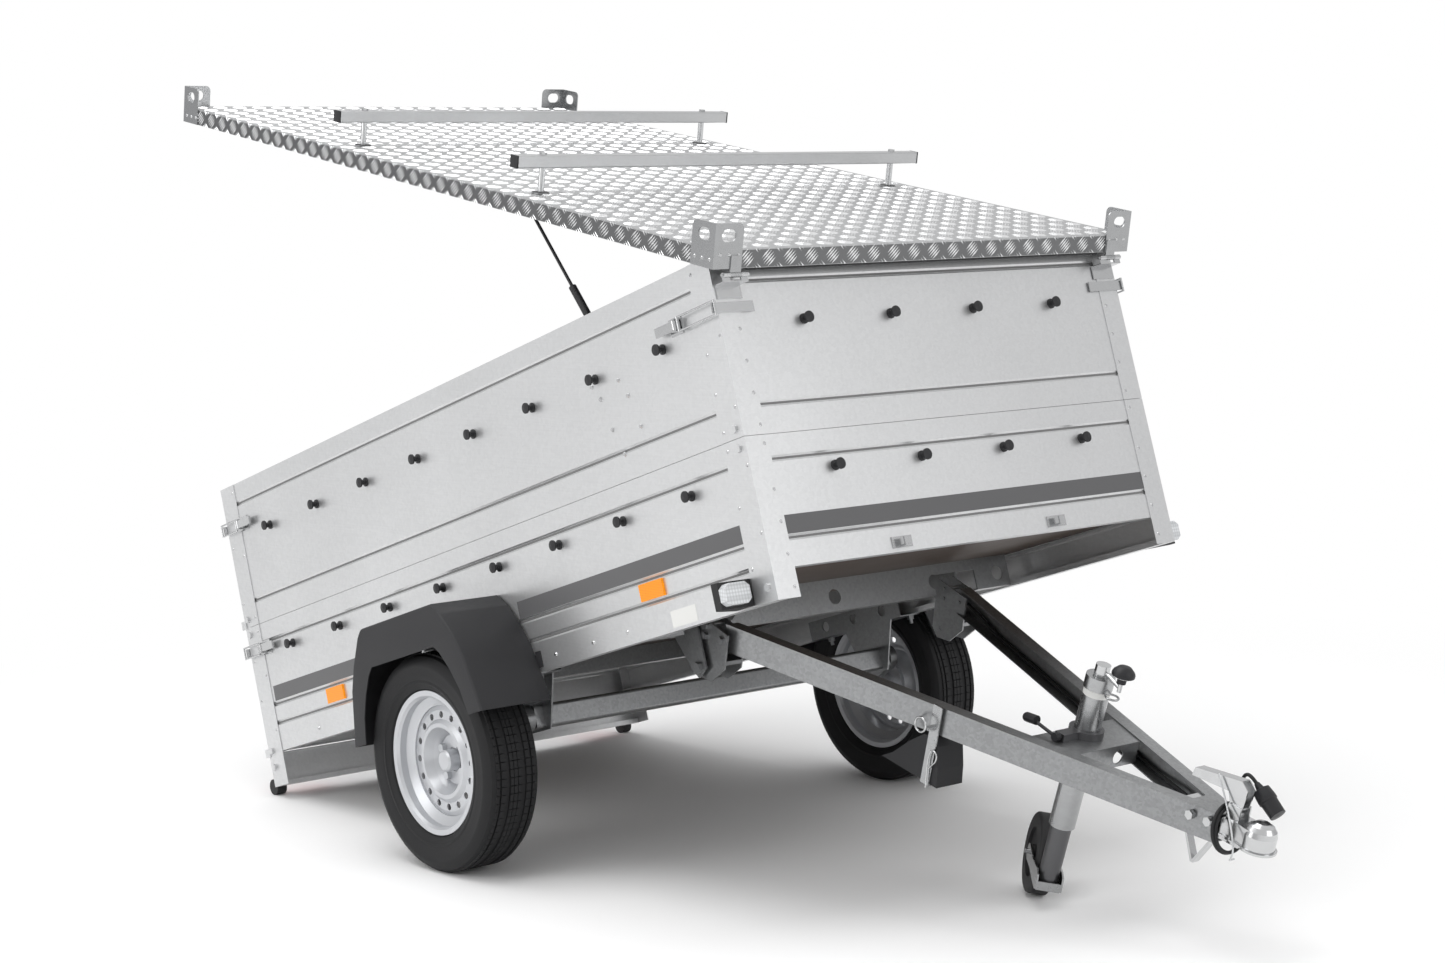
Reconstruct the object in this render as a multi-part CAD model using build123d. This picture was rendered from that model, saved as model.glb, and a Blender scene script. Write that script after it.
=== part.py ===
from build123d import *
import os
from math import atan, cos, degrees, pi, radians, sin, sqrt, tan

# Single-axle tipping box trailer of galvanised sheet, with raised side boards, a hinged
# tread-plate lid on gas springs and a V drawbar that folds at a hinge under the box.
# Millimetres and degrees. It is built level in the box frame: X runs forward from the
# front wall's outer face, Y to the left, Z up from the side boards' bottom edge. The rest
# pose has the box tipped back, so every part is turned into the row frame at the end.

# ---- pose at rest
BOX_TIP = 16.0
DRAW_FOLD = 31.9
LID_OPEN = 26.4

# ---- box
BOX_L = 2340.0
BOX_W = 1270.0
LOWER_H = 361.5
UPPER_H = 404.0
SEAM = 1.0
SHEET = 2.0
FLANGE = 32.0
GROOVE = 3.0
POST_SIDE = 78.0
POST_FACE = 62.0
FLOOR_Z = 84.0
FLOOR_T = 9.0
FRONT_BOTTOM = 67.0
VALANCE_BOTTOM = -94.0
GATE_GAP = 0.8

# ---- running gear
WHEEL_X = -1235.0
WHEEL_Y = 735.0
WHEEL_Z = -156.0
TYRE_R = 272.0
TYRE_W = 155.0
RIM_R = 179.0
RIM_W = 124.0
SPINDLE_R = 15.0
RUN_FIT = 0.05
BEAM_X = -1090.0
BEAM_Z = -97.0
BEAM = 58.0
GUARD_OUT = 838.0
BUMPER_R = 22.0

# ---- lid, seen closed: its own origin is the hinge pin
LID_L = 2399.0
LID_W = 1310.0
LID_LIP = 43.0
HINGE_X = 34.8
HINGE_Z = 712.6
LID_NOSE = -4.8
LID_EDGE = 12.9
BAR = 30.0
BAR_L = 1290.0
BAR_SPOTS = (780.0, 1590.0)
BAR_FOOT_Y = 565.0

# ---- gas springs
SPRING_Y = 585.0
SPRING_LOW = (-420.0, 545.0)
SPRING_TOP = (807.0, 17.0)
SPRING_BODY_L = 345.0

# ---- drawbar, seen in its own frame: origin on the fold pivot, X along it
PIVOT_X = -585.0
PIVOT_Z = -75.0
ARM_TOP = 120.2
ARM_H = 65.0
ARM_FLANGE = 35.0
ARM_T = 3.0
ARM_START = 36.0
ARM_END = 1254.5
ARM_Y0 = 409.1
ARM_SLOPE = 0.301
JOCKEY_X = 831.4
JOCKEY_LEAN = 3.8
JOCKEY_R = 30.0
JOCKEY_LOW = -228.0
JOCKEY_TOP = 124.0
CASTER_TRAIL = 123.0
CASTER_YAW = 38.0
CASTER_R = 95.0
CASTER_W = 48.0
CASTER_ROUND = 8.0
BALL_X = 1345.0
CHOCK_X = 600.0

BOX_TOP = LOWER_H + UPPER_H
TOP_TURN = Rot(0, -BOX_TIP, 0)


def block(x0, x1, y0, y1, z0, z1):
    return Pos((x0 + x1) / 2, (y0 + y1) / 2, (z0 + z1) / 2) * Box(x1 - x0, y1 - y0, z1 - z0)


def bar_between(start, end, radius):
    a, b = Vector(*start), Vector(*end)
    plane = Plane(origin=(a + b) / 2, z_dir=b - a)
    return plane * Cylinder(radius, (b - a).length)


def tube_between(start, end, radius, bore):
    a, b = Vector(*start), Vector(*end)
    plane = Plane(origin=(a + b) / 2, z_dir=b - a)
    return plane * (Cylinder(radius, (b - a).length) - Cylinder(bore, (b - a).length))


def plate_y(points, y0, y1):
    """An outline in X and Z, as thick as y0 to y1."""
    face = Plane.XZ * make_face(Polyline(*points, close=True))
    return Pos(0, y0, 0) * extrude(face, amount=y1 - y0, dir=(0, 1, 0))


def plate_x(points, x0, x1):
    """An outline in Y and Z, as thick as x0 to x1."""
    face = Plane.YZ * make_face(Polyline(*points, close=True))
    return Pos(x0, 0, 0) * extrude(face, amount=x1 - x0, dir=(1, 0, 0))


def plate_z(points, z0, z1):
    """An outline in X and Y, as thick as z0 to z1."""
    face = make_face(Polyline(*points, close=True))
    return Pos(0, 0, z0) * extrude(face, amount=z1 - z0)


def turned(points):
    """A ring about Y from an outline of radius and Y."""
    return revolve(make_face(Polyline(*points, close=True)), Axis.Y)


def hexagon(across, height):
    return extrude(RegularPolygon(across / sqrt(3), 6), amount=height)


def both_sides(shape):
    return [shape, mirror(shape, about=Plane.XZ)]


def wire(points, radius):
    """A bent wire: straight runs joined by tangent arcs, as large as their runs allow."""
    pts = [Vector(*p) for p in points]
    edges = []
    last = pts[0]
    for before, here, after in zip(pts, pts[1:], pts[2:]):
        run_in, run_out = here - before, after - here
        half_turn = radians(run_in.get_angle(run_out)) / 2
        cut = 0.45 * min(run_in.length, run_out.length)
        into, out_of = here - run_in.normalized() * cut, here + run_out.normalized() * cut
        sag = (out_of - into).length / 2 * tan(half_turn / 2)
        middle = (into + out_of) / 2
        edges += [Edge.make_line(last, into)]
        edges += [Edge.make_three_point_arc(into, middle + (here - middle).normalized() * sag, out_of)]
        last = out_of
    edges += [Edge.make_line(last, pts[-1])]
    path = Wire(edges)
    return sweep(Plane(origin=pts[0], z_dir=pts[1] - pts[0]) * Circle(radius), path=path)


# ---------------------------------------------------------------- box walls

def wall_outline(z0, z1, grooves, bottom_lip):
    """Section of a folded sheet wall: depth inward from its outer face, and height."""
    outer = [(0, z0)]
    for z in grooves:
        outer += [(0, z - 7), (-GROOVE, z - 3), (-GROOVE, z + 3), (0, z + 7)]
    outer += [(0, z1)]
    top_fold = [(-FLANGE, z1), (-FLANGE, z1 - 12), (-FLANGE + SHEET, z1 - 12), (-FLANGE + SHEET, z1 - SHEET)]
    inner = [(d - SHEET, z) for d, z in reversed(outer[1:-1])]
    bottom_fold = [(-SHEET, z0 + SHEET), (-FLANGE + SHEET, z0 + SHEET)]
    if bottom_lip:
        bottom_fold += [(-FLANGE + SHEET, z0 + 14), (-FLANGE, z0 + 14)]
    bottom_fold += [(-FLANGE, z0)]
    return outer + top_fold + [(-SHEET, z1 - SHEET)] + inner + bottom_fold


SIDE_FACE = BOX_W / 2 - SHEET
SIDE_BACK = -BOX_L + 28
LOWER_GROOVES = (78.0, 131.0, 307.0)
UPPER_GROOVES = (430.0, 709.0)
FRONT_HALF = SIDE_FACE - FLANGE - 0.5


def side_wall(z0, z1, grooves, bottom_lip):
    outline = [(SIDE_FACE + d, z) for d, z in wall_outline(z0, z1, grooves, bottom_lip)]
    return plate_x(outline, SIDE_BACK, -SHEET)


def front_wall(z0, z1, grooves):
    outline = [(-SHEET + d, z) for d, z in wall_outline(z0, z1, grooves, False)]
    return plate_y(outline, -FRONT_HALF, FRONT_HALF)


def gate(z0, z1, grooves):
    """A tailgate with folded edges, its two latch keepers and its hinge knuckles."""
    half = SIDE_FACE - GATE_GAP
    face = -BOX_L + 1
    outer = [(face, z0)]
    for z in grooves:
        outer += [(face, z - 7), (face + GROOVE, z - 3), (face + GROOVE, z + 3), (face, z + 7)]
    outer += [(face, z1)]
    inner = [(x + SHEET, z) for x, z in reversed(outer[1:-1])]
    folds = [(face + 22, z1), (face + 22, z1 - SHEET), (face + SHEET, z1 - SHEET)]
    folds += inner + [(face + SHEET, z0 + SHEET), (face + 22, z0 + SHEET), (face + 22, z0)]
    panel = plate_y(outer + folds, -half, half)
    knuckle = gate_knuckle(z0)
    return panel + knuckle + mirror(knuckle, about=Plane.XZ)


GATE_HINGE_Y = 606.0
GATE_PIN_X = -BOX_L - 9
GATE_PIN_R = 4.0


def gate_knuckle(z0):
    y0, y1 = GATE_HINGE_Y - 12, GATE_HINGE_Y + 12
    leaf = block(-BOX_L - 2, -BOX_L + 1, y0, y1, z0 + 3, z0 + 40)
    tab = block(GATE_PIN_X, -BOX_L + 1, y0, y1, z0 + 3, z0 + 7)
    barrel = bar_between((GATE_PIN_X, y0, z0 + 1), (GATE_PIN_X, y1, z0 + 1), 7)
    bore = bar_between((GATE_PIN_X, y0 - 1, z0 + 1), (GATE_PIN_X, y1 + 1, z0 + 1), GATE_PIN_R + RUN_FIT)
    return leaf + tab + barrel - bore


def gate_pins(z0):
    """Hinge pins on plates that are riveted to the rear posts."""
    post = BOX_W / 2
    pin = bar_between((GATE_PIN_X, GATE_HINGE_Y - 13, z0 + 1), (GATE_PIN_X, post + 3, z0 + 1), GATE_PIN_R)
    plate = block(GATE_PIN_X - 6, -BOX_L + 10, post, post + 3, z0 - 12, z0 + 12)
    return both_sides(pin + plate)


KEEPER_T = 3.0
LATCH_Y = SIDE_FACE + 15
LATCH_HALF = 12.0


def gate_keepers(z):
    """The plates on the gate's ends that the rear latches pull on."""
    x = -BOX_L + 1
    seat = block(x - 3, x, 565, 625, z - LATCH_HALF, z + LATCH_HALF)
    hook = block(x - 3 - KEEPER_T, x - 3, 560, LATCH_Y - 3, z - LATCH_HALF, z + LATCH_HALF)
    return both_sides(seat + hook)


def corner_post(x_out, inward, z0, z1):
    """A riveted corner angle: one leg on the side board, one across the end wall."""
    side_x = sorted((x_out, x_out + inward * POST_SIDE))
    leg = block(*side_x, SIDE_FACE, SIDE_FACE + SHEET, z0, z1)
    if inward < 0:
        across = block(x_out - SHEET, x_out, SIDE_FACE - POST_FACE, SIDE_FACE, z0, z1)
    else:
        back = SIDE_BACK - SHEET - 0.5
        across = block(back, back + SHEET, SIDE_FACE - FLANGE, SIDE_FACE, max(z0, 2), z1)
    return leg + across


def corner_posts():
    posts = []
    for z0, z1 in ((0, LOWER_H), (LOWER_H + SEAM, BOX_TOP)):
        posts += both_sides(corner_post(0, -1, z0, z1))
    for z0, z1 in ((VALANCE_BOTTOM, LOWER_H), (LOWER_H + SEAM, BOX_TOP)):
        posts += both_sides(corner_post(-BOX_L, 1, z0, z1))
    heads = [(-25, 32), (-25, LOWER_H - 22), (-25, LOWER_H + 22)]
    heads += [(-BOX_L + 22, z) for z in (-40, 6, LOWER_H - 22, LOWER_H + 22)]
    for x, z in heads:
        head = Plane(origin=(x, BOX_W / 2, z), z_dir=(0, 1, 0)) * hexagon(16, 6)
        posts += both_sides(head)
    return posts


def floor_panel():
    return block(SIDE_BACK, -6, -SIDE_FACE + 5.5, SIDE_FACE - 5.5, FLOOR_Z, FLOOR_Z + FLOOR_T)


def rear_valance():
    """The lamp panel under the tailgate, with a folded lip and the gate's hinge pins."""
    x = -BOX_L + 1
    half = SIDE_FACE - 0.5
    panel = block(x, x + SHEET, -half, half, VALANCE_BOTTOM, 1)
    panel += block(x, x + 26, -half, half, VALANCE_BOTTOM, VALANCE_BOTTOM + SHEET)
    panel += block(x + 24, x + 26, -half, half, VALANCE_BOTTOM, VALANCE_BOTTOM + 14)
    panel += block(x, x + 26, -half, half, -3, -1)
    return [panel] + gate_pins(3) + gate_pins(LOWER_H + SEAM + 9)


# ---------------------------------------------------------------- underframe

CROSS_FACE = -550.0


def channel_across(x_web, z0, z1, half, depth):
    web = block(x_web - 3, x_web, -half, half, z0, z1)
    top = block(x_web - depth, x_web, -half, half, z1 - 3, z1)
    bottom = block(x_web - depth, x_web, -half, half, z0, z0 + 3)
    return web + top + bottom


def cross_members():
    """Floor cross members. The front one is cut out where the drawbar folds up under it."""
    half = SIDE_FACE - FLANGE - 1
    front = channel_across(CROSS_FACE, 4, FLOOR_Z, half, 42)
    for y in (-560, -337, 0, 337, 560):
        front -= bar_between((CROSS_FACE - 60, y, 40), (CROSS_FACE + 10, y, 40), 19)
    for side in (-1, 1):
        cut = sorted((side * 335, side * 480))
        front -= block(CROSS_FACE - 60, CROSS_FACE + 1, *cut, 0, 57)
    middle = channel_across(-870, 34, FLOOR_Z, half, 42)
    rear = channel_across(-1620, 34, FLOOR_Z, half, 42)
    return [front, middle, rear]


PIVOT_R = 8.0
HANGER_Y = 424.0


def hinge_hangers():
    """Triangular plates under the floor that carry the fold pivot bolts."""
    out = []
    lip_z = FLOOR_Z - 3
    outline = [(-690, lip_z), (-562, lip_z), (PIVOT_X + 24, PIVOT_Z - 6), (PIVOT_X - 10, PIVOT_Z - 24)]
    outline += [(PIVOT_X - 28, PIVOT_Z)]
    plate = plate_y(outline, HANGER_Y, HANGER_Y + 5)
    top = block(-690, -593, HANGER_Y, HANGER_Y + 40, lip_z, FLOOR_Z)
    bolt = bar_between((PIVOT_X, HANGER_Y - 62, PIVOT_Z), (PIVOT_X, HANGER_Y + 16, PIVOT_Z), PIVOT_R)
    head = Plane(origin=(PIVOT_X, HANGER_Y + 5, PIVOT_Z), z_dir=(0, 1, 0)) * hexagon(24, 12)
    out += both_sides(plate + top + bolt + head)
    return out


def axle_mounts():
    """Angle rails under the side boards with a bracket down to the axle beam."""
    web = block(-1330, -950, 560, 563, -3, 50)
    for x in (-1260, -1140, -1020):
        web -= bar_between((x, 550, 26), (x, 570, 26), 14)
    rail = web + block(-1330, -950, 563, SIDE_FACE - 1, -3, 0)
    low = BEAM_Z - BEAM / 2 - 7
    outline = [(-1185, -3), (-990, -3), (-1045, low), (-1135, low)]
    bracket = plate_y(outline, 560, 564)
    bracket -= block(BEAM_X - BEAM / 2, BEAM_X + BEAM / 2, 550, 570, BEAM_Z - BEAM / 2, BEAM_Z + BEAM / 2)
    mount = rail + bracket
    for x in (-1310, -970):
        mount += bar_between((x, 615, -24), (x, 615, -3), 5)
        mount += Pos(x, 615, -13) * hexagon(16, 10)
    return both_sides(mount)


def axle_beam():
    """The torsion axle's square tube with its two trailing arms and wheel spindles."""
    section = RectangleRounded(BEAM, BEAM, 9) - RectangleRounded(BEAM - 8, BEAM - 8, 6)
    plane = Plane(origin=(BEAM_X, 590, BEAM_Z), x_dir=(1, 0, 0), z_dir=(0, -1, 0))
    beam = plane * extrude(section, amount=1180)
    out = [beam]
    shaft = bar_between((BEAM_X, 560, BEAM_Z), (BEAM_X, 616, BEAM_Z), 20)
    collar = bar_between((BEAM_X, 560, BEAM_Z), (BEAM_X, 580, BEAM_Z), 24.9)
    arm = bar_between((BEAM_X, 592, BEAM_Z), (BEAM_X, 616, BEAM_Z), 34)
    arm += bar_between((WHEEL_X, 592, WHEEL_Z), (WHEEL_X, 616, WHEEL_Z), 30)
    arm += plate_y([(BEAM_X, BEAM_Z + 33), (WHEEL_X, WHEEL_Z + 29), (WHEEL_X, WHEEL_Z - 29),
                    (BEAM_X, BEAM_Z - 33)], 592, 616)
    spindle = bar_between((WHEEL_X, 616, WHEEL_Z), (WHEEL_X, WHEEL_Y + 8, WHEEL_Z), SPINDLE_R)
    shoulder = bar_between((WHEEL_X, 616, WHEEL_Z), (WHEEL_X, WHEEL_Y - 76, WHEEL_Z), 21)
    out += both_sides(shaft + collar + arm + spindle + shoulder)
    return out


def mudguard():
    """A moulded wheel arch: flat top, two sloping ends and a turned-down outer lip."""
    centre = WHEEL_X + 18
    half = [(165, 213), (203, 181), (238, 130), (268, 70), (305, -70)]
    outline = [(centre - d, z) for d, z in reversed(half)] + [(centre + d, z) for d, z in half]
    outer = make_face(Polyline(*outline, close=True))
    inner = offset(outer, amount=-3, kind=Kind.INTERSECTION)
    window = offset(outer, amount=-42, kind=Kind.INTERSECTION)
    skin = outer - Pos(0, -6) * inner
    lip = outer - Pos(0, -60) * window
    start = SIDE_FACE + 4
    arch = Pos(0, start, 0) * extrude(Plane.XZ * skin, amount=GUARD_OUT - start, dir=(0, 1, 0))
    arch += Pos(0, GUARD_OUT - 3, 0) * extrude(Plane.XZ * lip, amount=3, dir=(0, 1, 0))
    tabs = [block(centre - 150, centre - 110, SIDE_FACE, SIDE_FACE + 4, 190, 213)]
    tabs += [block(centre + 110, centre + 150, SIDE_FACE, SIDE_FACE + 4, 190, 213)]
    tabs += [block(centre - 296, centre - 276, SIDE_FACE, SIDE_FACE + 4, 10, 50)]
    tabs += [block(centre + 276, centre + 296, SIDE_FACE, SIDE_FACE + 4, 10, 50)]
    for tab in tabs:
        arch += tab
    return arch


def place_wheel(shape):
    return Pos(WHEEL_X, WHEEL_Y, WHEEL_Z) * shape


def tyre():
    half = TYRE_W / 2
    outer = [(165.1, 48), (168.6, 56), (179.5, 57), (184, 66), (198, 73), (222, half), (250, 75), (264, 67),
             (270, 57), (TYRE_R, 44)]
    inner = [(TYRE_R - 12, 42), (256, 58), (245, 65), (222, half - 8), (196, 62), (178, 47), (165.1, 38)]
    ring = outer + [(r, -y) for r, y in reversed(outer)]
    ring += [(r, -y) for r, y in reversed(inner)] + inner
    return place_wheel(turned(ring))


def rim():
    """Steel rim barrel with its dished disc, hub, dust cap and four wheel bolts."""
    edge = RIM_W / 2
    outer = [(RIM_R, edge), (RIM_R, edge - 4), (168, edge - 5), (164.9, 50), (164.9, 34), (142, 26)]
    inner = [(138, 24), (160, 36), (160.5, 54), (166, edge - 1)]
    ring = outer + [(r, -y) for r, y in reversed(outer)] + [(r, -y) for r, y in reversed(inner)] + inner
    barrel = turned(ring)
    front = [(138.5, 12), (138.5, 20), (126, 25), (104, 26), (94, 34), (84, 34), (72, 12), (62, -3), (31, -3)]
    back = [(31, -7), (64, -7), (76, 10), (86, 30), (92, 30), (103, 22), (124, 21), (130, 12)]
    disc = turned(front + back)
    for k in range(16):
        turn = 2 * pi * (k + 0.5) / 16
        x, z = 115 * cos(turn), 115 * sin(turn)
        disc -= bar_between((x, 0, z), (x, 40, z), 8.5)
    hub_line = [(SPINDLE_R + RUN_FIT, -70), (30, -70), (30, -19), (62, -19), (62, -7), (27, -7), (27, 26)]
    hub_line += [(22, 30), (0, 30), (0, 12), (SPINDLE_R + RUN_FIT, 12)]
    pieces = [place_wheel(barrel + disc), place_wheel(turned(hub_line))]
    for k in range(4):
        turn = pi / 4 + k * pi / 2
        head = Plane(origin=(49 * cos(turn), -3, 49 * sin(turn)), z_dir=(0, 1, 0)) * hexagon(19, 13)
        pieces += [place_wheel(head)]
    return pieces


# ---------------------------------------------------------------- fittings on the box

KNOBS_LOWER = (-222.6, 267.2, 278.0)
KNOBS_UPPER = (-218.0, 268.4, 614.0)
KNOB_PITCH_FRONT = 262.8


def tarp_knob():
    """A turned rubber button on its base, standing up along Z."""
    line = [(0, 0), (12, 0), (12, 3), (7, 6), (7, 13), (13, 18), (13, 22), (0, 24)]
    return revolve(Plane.XZ * make_face(Polyline(*line, close=True)), Axis.Z)


def tarp_knobs():
    knobs = []
    for first, pitch, z in (KNOBS_LOWER, KNOBS_UPPER):
        for k in range(8):
            spot = Plane(origin=(first - k * pitch, SIDE_FACE, z), z_dir=(0, 1, 0))
            knobs += both_sides(spot * tarp_knob())
        for k in range(4):
            spot = Plane(origin=(-SHEET, (k - 1.5) * KNOB_PITCH_FRONT, z), z_dir=(1, 0, 0))
            knobs += [spot * tarp_knob()]
    return knobs


LAMP_X = -70.0
LAMP_Y = 692.0
LAMP_Z = 33.0


def rubber_mounts():
    """Rubber arms of the front position lamps and the two buffers under the rear corners."""
    arm = plate_z([(-150, SIDE_FACE + SHEET), (-82, SIDE_FACE + SHEET), (-82, 727), (-100, 730),
                   (-118, 700)], LAMP_Z - 30, LAMP_Z + 30)
    buffer = bar_between((BUMPER_X, 596, BUMPER_Z), (BUMPER_X, 626, BUMPER_Z), BUMPER_R)
    return both_sides(arm) + both_sides(buffer)


def ground_height(x, z):
    """Height over the ground of a point of the box frame, in the tipped pose."""
    tip = radians(BOX_TIP)
    return (x - WHEEL_X) * sin(tip) + (z - WHEEL_Z) * cos(tip) + TYRE_R


BUMPER_X = -BOX_L - 26
BUMPER_Z = WHEEL_Z + (BUMPER_R - TYRE_R - (BUMPER_X - WHEEL_X) * sin(radians(BOX_TIP))) / cos(radians(BOX_TIP))


def lamp_lenses():
    """Clear front position lenses and red tail lenses."""
    eight = [(-34, -14), (-22, -24), (22, -24), (34, -14), (34, 14), (22, 24), (-22, 24), (-34, 14)]
    lens = plate_x([(LAMP_Y + a, LAMP_Z + b) for a, b in eight], -82, -58)
    tail = block(-BOX_L - 24, -BOX_L + 1, 440, 590, VALANCE_BOTTOM + 6, -12)
    return both_sides(lens) + both_sides(tail)


def side_reflectors():
    out = []
    for x in (-432.0, -1912.0):
        out += both_sides(block(x - 45, x + 45, SIDE_FACE, SIDE_FACE + 6, 85, 125))
    return out


LATCH_LEN_REAR = 97.6
LATCH_LEN_FRONT = 150.0
LATCH_GRIP = 70.0
LATCH_PIN_R = 3.0


def latch_spots():
    """Each latch: pivot X, direction to its keeper, loop length and height."""
    rear = -BOX_L - 7.8 + LATCH_LEN_REAR
    front = 8.2 - LATCH_LEN_FRONT
    return [("rear_lower", rear, -1, LATCH_LEN_REAR, 292.0),
            ("rear_upper", rear, -1, LATCH_LEN_REAR, 648.0),
            ("front", front, 1, LATCH_LEN_FRONT, 649.0)]


def latch_lever(x, way, z):
    """A toggle latch's lever on its pin, folded flat against the board."""
    grip = block(*sorted((x - way * LATCH_GRIP, x)), LATCH_Y - 3, LATCH_Y + 3, z - 11, z + 11)
    boss = bar_between((x, LATCH_Y, z - 11), (x, LATCH_Y, z + 11), 7)
    bore = bar_between((x, LATCH_Y, z - 12), (x, LATCH_Y, z + 12), LATCH_PIN_R + RUN_FIT)
    return grip + boss - bore


def latch_loop(x, way, length, z):
    """The wire loop that reaches from the latch round the corner keeper."""
    half = LATCH_HALF + 3.5
    near, end = x + way * 14, x + way * length
    cross = bar_between((near, LATCH_Y, z - half - 2), (near, LATCH_Y, z + half + 2), 3.5)
    loop = cross + bar_between((end, LATCH_Y, z - half - 2), (end, LATCH_Y, z + half + 2), 2.5)
    for side in (-1, 1):
        loop += bar_between((near, LATCH_Y, z + side * half), (end, LATCH_Y, z + side * half), 2.2)
    return loop


def latch_base(x, way, z):
    ends = sorted((x + way * 11, x - way * 33))
    plate = block(*ends, SIDE_FACE, SIDE_FACE + 3, z - 20, z + 20)
    for side in (-1, 1):
        ear = sorted((z + side * 11.4, z + side * 14))
        plate += block(x - 8, x + 8, SIDE_FACE + 3, LATCH_Y + 6, *ear)
    plate += bar_between((x, LATCH_Y, z - 14), (x, LATCH_Y, z + 14), LATCH_PIN_R)
    return plate


def box_fittings():
    """Latch bases and loops, the front latch keepers and two lashing hooks on the front wall."""
    out = []
    for _, x, way, length, z in latch_spots():
        out += both_sides(latch_base(x, way, z))
        out += both_sides(latch_loop(x, way, length, z))
    z = latch_spots()[2][4]
    seat = block(0, 2, 540, 630, z - LATCH_HALF, z + LATCH_HALF)
    hook = block(2, 5, 535, LATCH_Y + 6, z - LATCH_HALF, z + LATCH_HALF)
    out += both_sides(seat + hook)
    for y in (-248.0, 248.0):
        plate = block(-SHEET, 1, y - 30, y + 30, 76, 102)
        horn = block(1, 20, y - 9, y + 9, 78, 82) + block(16, 20, y - 9, y + 9, 82, 98)
        out += [plate + horn]
    return out


# ---------------------------------------------------------------- lid

LEAF_Y0 = 560.0
LEAF_Y1 = 630.0
PIN_R = 3.0
KNUCKLE_R = 6.0
SPLIT_LOW = 580.0
SPLIT_HIGH = 610.0


def lid_mounts():
    """Hinge leaves on the front wall with their pins, and the gas springs' low brackets."""
    leaf = block(0, 3, LEAF_Y0, LEAF_Y1, 668, 700)
    leaf += block(0, HINGE_X, LEAF_Y0, LEAF_Y1, 697, 700)
    for y0, y1 in ((LEAF_Y0, SPLIT_LOW - 0.3), (SPLIT_HIGH + 0.3, LEAF_Y1)):
        leaf += block(HINGE_X - 4, HINGE_X, y0, y1, 700, HINGE_Z)
        leaf += bar_between((HINGE_X, y0, HINGE_Z), (HINGE_X, y1, HINGE_Z), KNUCKLE_R)
    leaf += bar_between((HINGE_X, LEAF_Y0 - 4, HINGE_Z), (HINGE_X, LEAF_Y1 + 4, HINGE_Z), PIN_R)
    x, z = SPRING_LOW
    foot = block(x - 60, x + 60, SIDE_FACE - SHEET - 3, SIDE_FACE - SHEET, z - 50, z + 50)
    stud = bar_between((x, SPRING_Y - 13, z), (x, SIDE_FACE - SHEET, z), 5)
    return both_sides(leaf) + both_sides(foot + stud)


def lid_place(shape):
    return Pos(HINGE_X, 0, HINGE_Z) * Rot(0, LID_OPEN, 0) * shape


RIB_HALF = 560.0


def lid_tray():
    x1, x0 = LID_NOSE, LID_NOSE - LID_L
    top = LID_EDGE + LID_LIP
    half = LID_W / 2
    tray = block(x0, x1, -half, half, LID_EDGE, top)
    tray -= block(x0 + SHEET, x1 - SHEET, -half + SHEET, half - SHEET, LID_EDGE - 1, top - SHEET)
    for x in (x0 + 750, x0 + 1500):
        rib = block(x - 20, x + 20, -RIB_HALF, RIB_HALF, top - 14, top - SHEET)
        rib -= block(x - 18, x + 18, -half, half, top - 12, top)
        tray += rib
    return lid_place(tray)


EYE_L = 40.0
EYE_H = 28.0


def lid_brackets():
    """Angle plates round the four lid corners, and the hinge leaves on the front pair."""
    out = []
    z0, z1 = LID_EDGE, LID_EDGE + LID_LIP + 57
    half = LID_W / 2
    x_front, x_rear = LID_NOSE, LID_NOSE - LID_L
    for x_edge, way in ((x_front, 1), (x_rear, -1)):
        side = block(*sorted((x_edge + way * 3, x_edge - way * 77)), half, half + 3, z0, z1)
        side = fillet(side.edges().filter_by(Axis.Y).sort_by(Axis.Z)[-2:].sort_by(Axis.X)[[0, 1][way < 0]], 14)
        face = block(*sorted((x_edge, x_edge + way * 3)), half - 77, half, z0, z1)
        face = fillet(face.edges().filter_by(Axis.X).sort_by(Axis.Z)[-2:].sort_by(Axis.Y)[0], 14)
        x_hole = x_edge - way * 36
        eye = extrude(SlotOverall(EYE_L, EYE_H), amount=20)
        side -= Plane(origin=(x_hole, half - 8, z1 - 27), x_dir=(1, 0, 0), z_dir=(0, 1, 0)) * eye
        face -= Plane(origin=(x_edge - 10, half - 36, z1 - 27), x_dir=(0, 1, 0), z_dir=(1, 0, 0)) * eye
        bracket = side + face
        if way > 0:
            reach = x_edge + 3
            bracket += block(reach, reach + 3, SPLIT_LOW, SPLIT_HIGH, KNUCKLE_R - 1, z0 + 30)
            bracket += block(-3, reach + 3, SPLIT_LOW, SPLIT_HIGH, KNUCKLE_R - 2, KNUCKLE_R + 1)
            bracket += bar_between((0, SPLIT_LOW, 0), (0, SPLIT_HIGH, 0), KNUCKLE_R)
            bracket -= bar_between((0, SPLIT_LOW - 1, 0), (0, SPLIT_HIGH + 1, 0), PIN_R + RUN_FIT)
        out += both_sides(lid_place(bracket))
    x, z = SPRING_TOP
    under = LID_EDGE + LID_LIP - SHEET
    centre, low = LID_NOSE - x, LID_EDGE + z
    hang = block(centre - 20, centre + 20, SPRING_Y - 20, SPRING_Y - 16, low - 12, under)
    hang += block(centre - 20, centre + 20, SPRING_Y - 40, SPRING_Y - 16, under - 3, under)
    hang += bar_between((centre, SPRING_Y - 18, low), (centre, SPRING_Y - 6.5, low), 4)
    out += both_sides(lid_place(hang))
    return out


def bar_centre(spot):
    return LID_NOSE - spot, LID_EDGE + LID_LIP + 63 + BAR / 2


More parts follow.
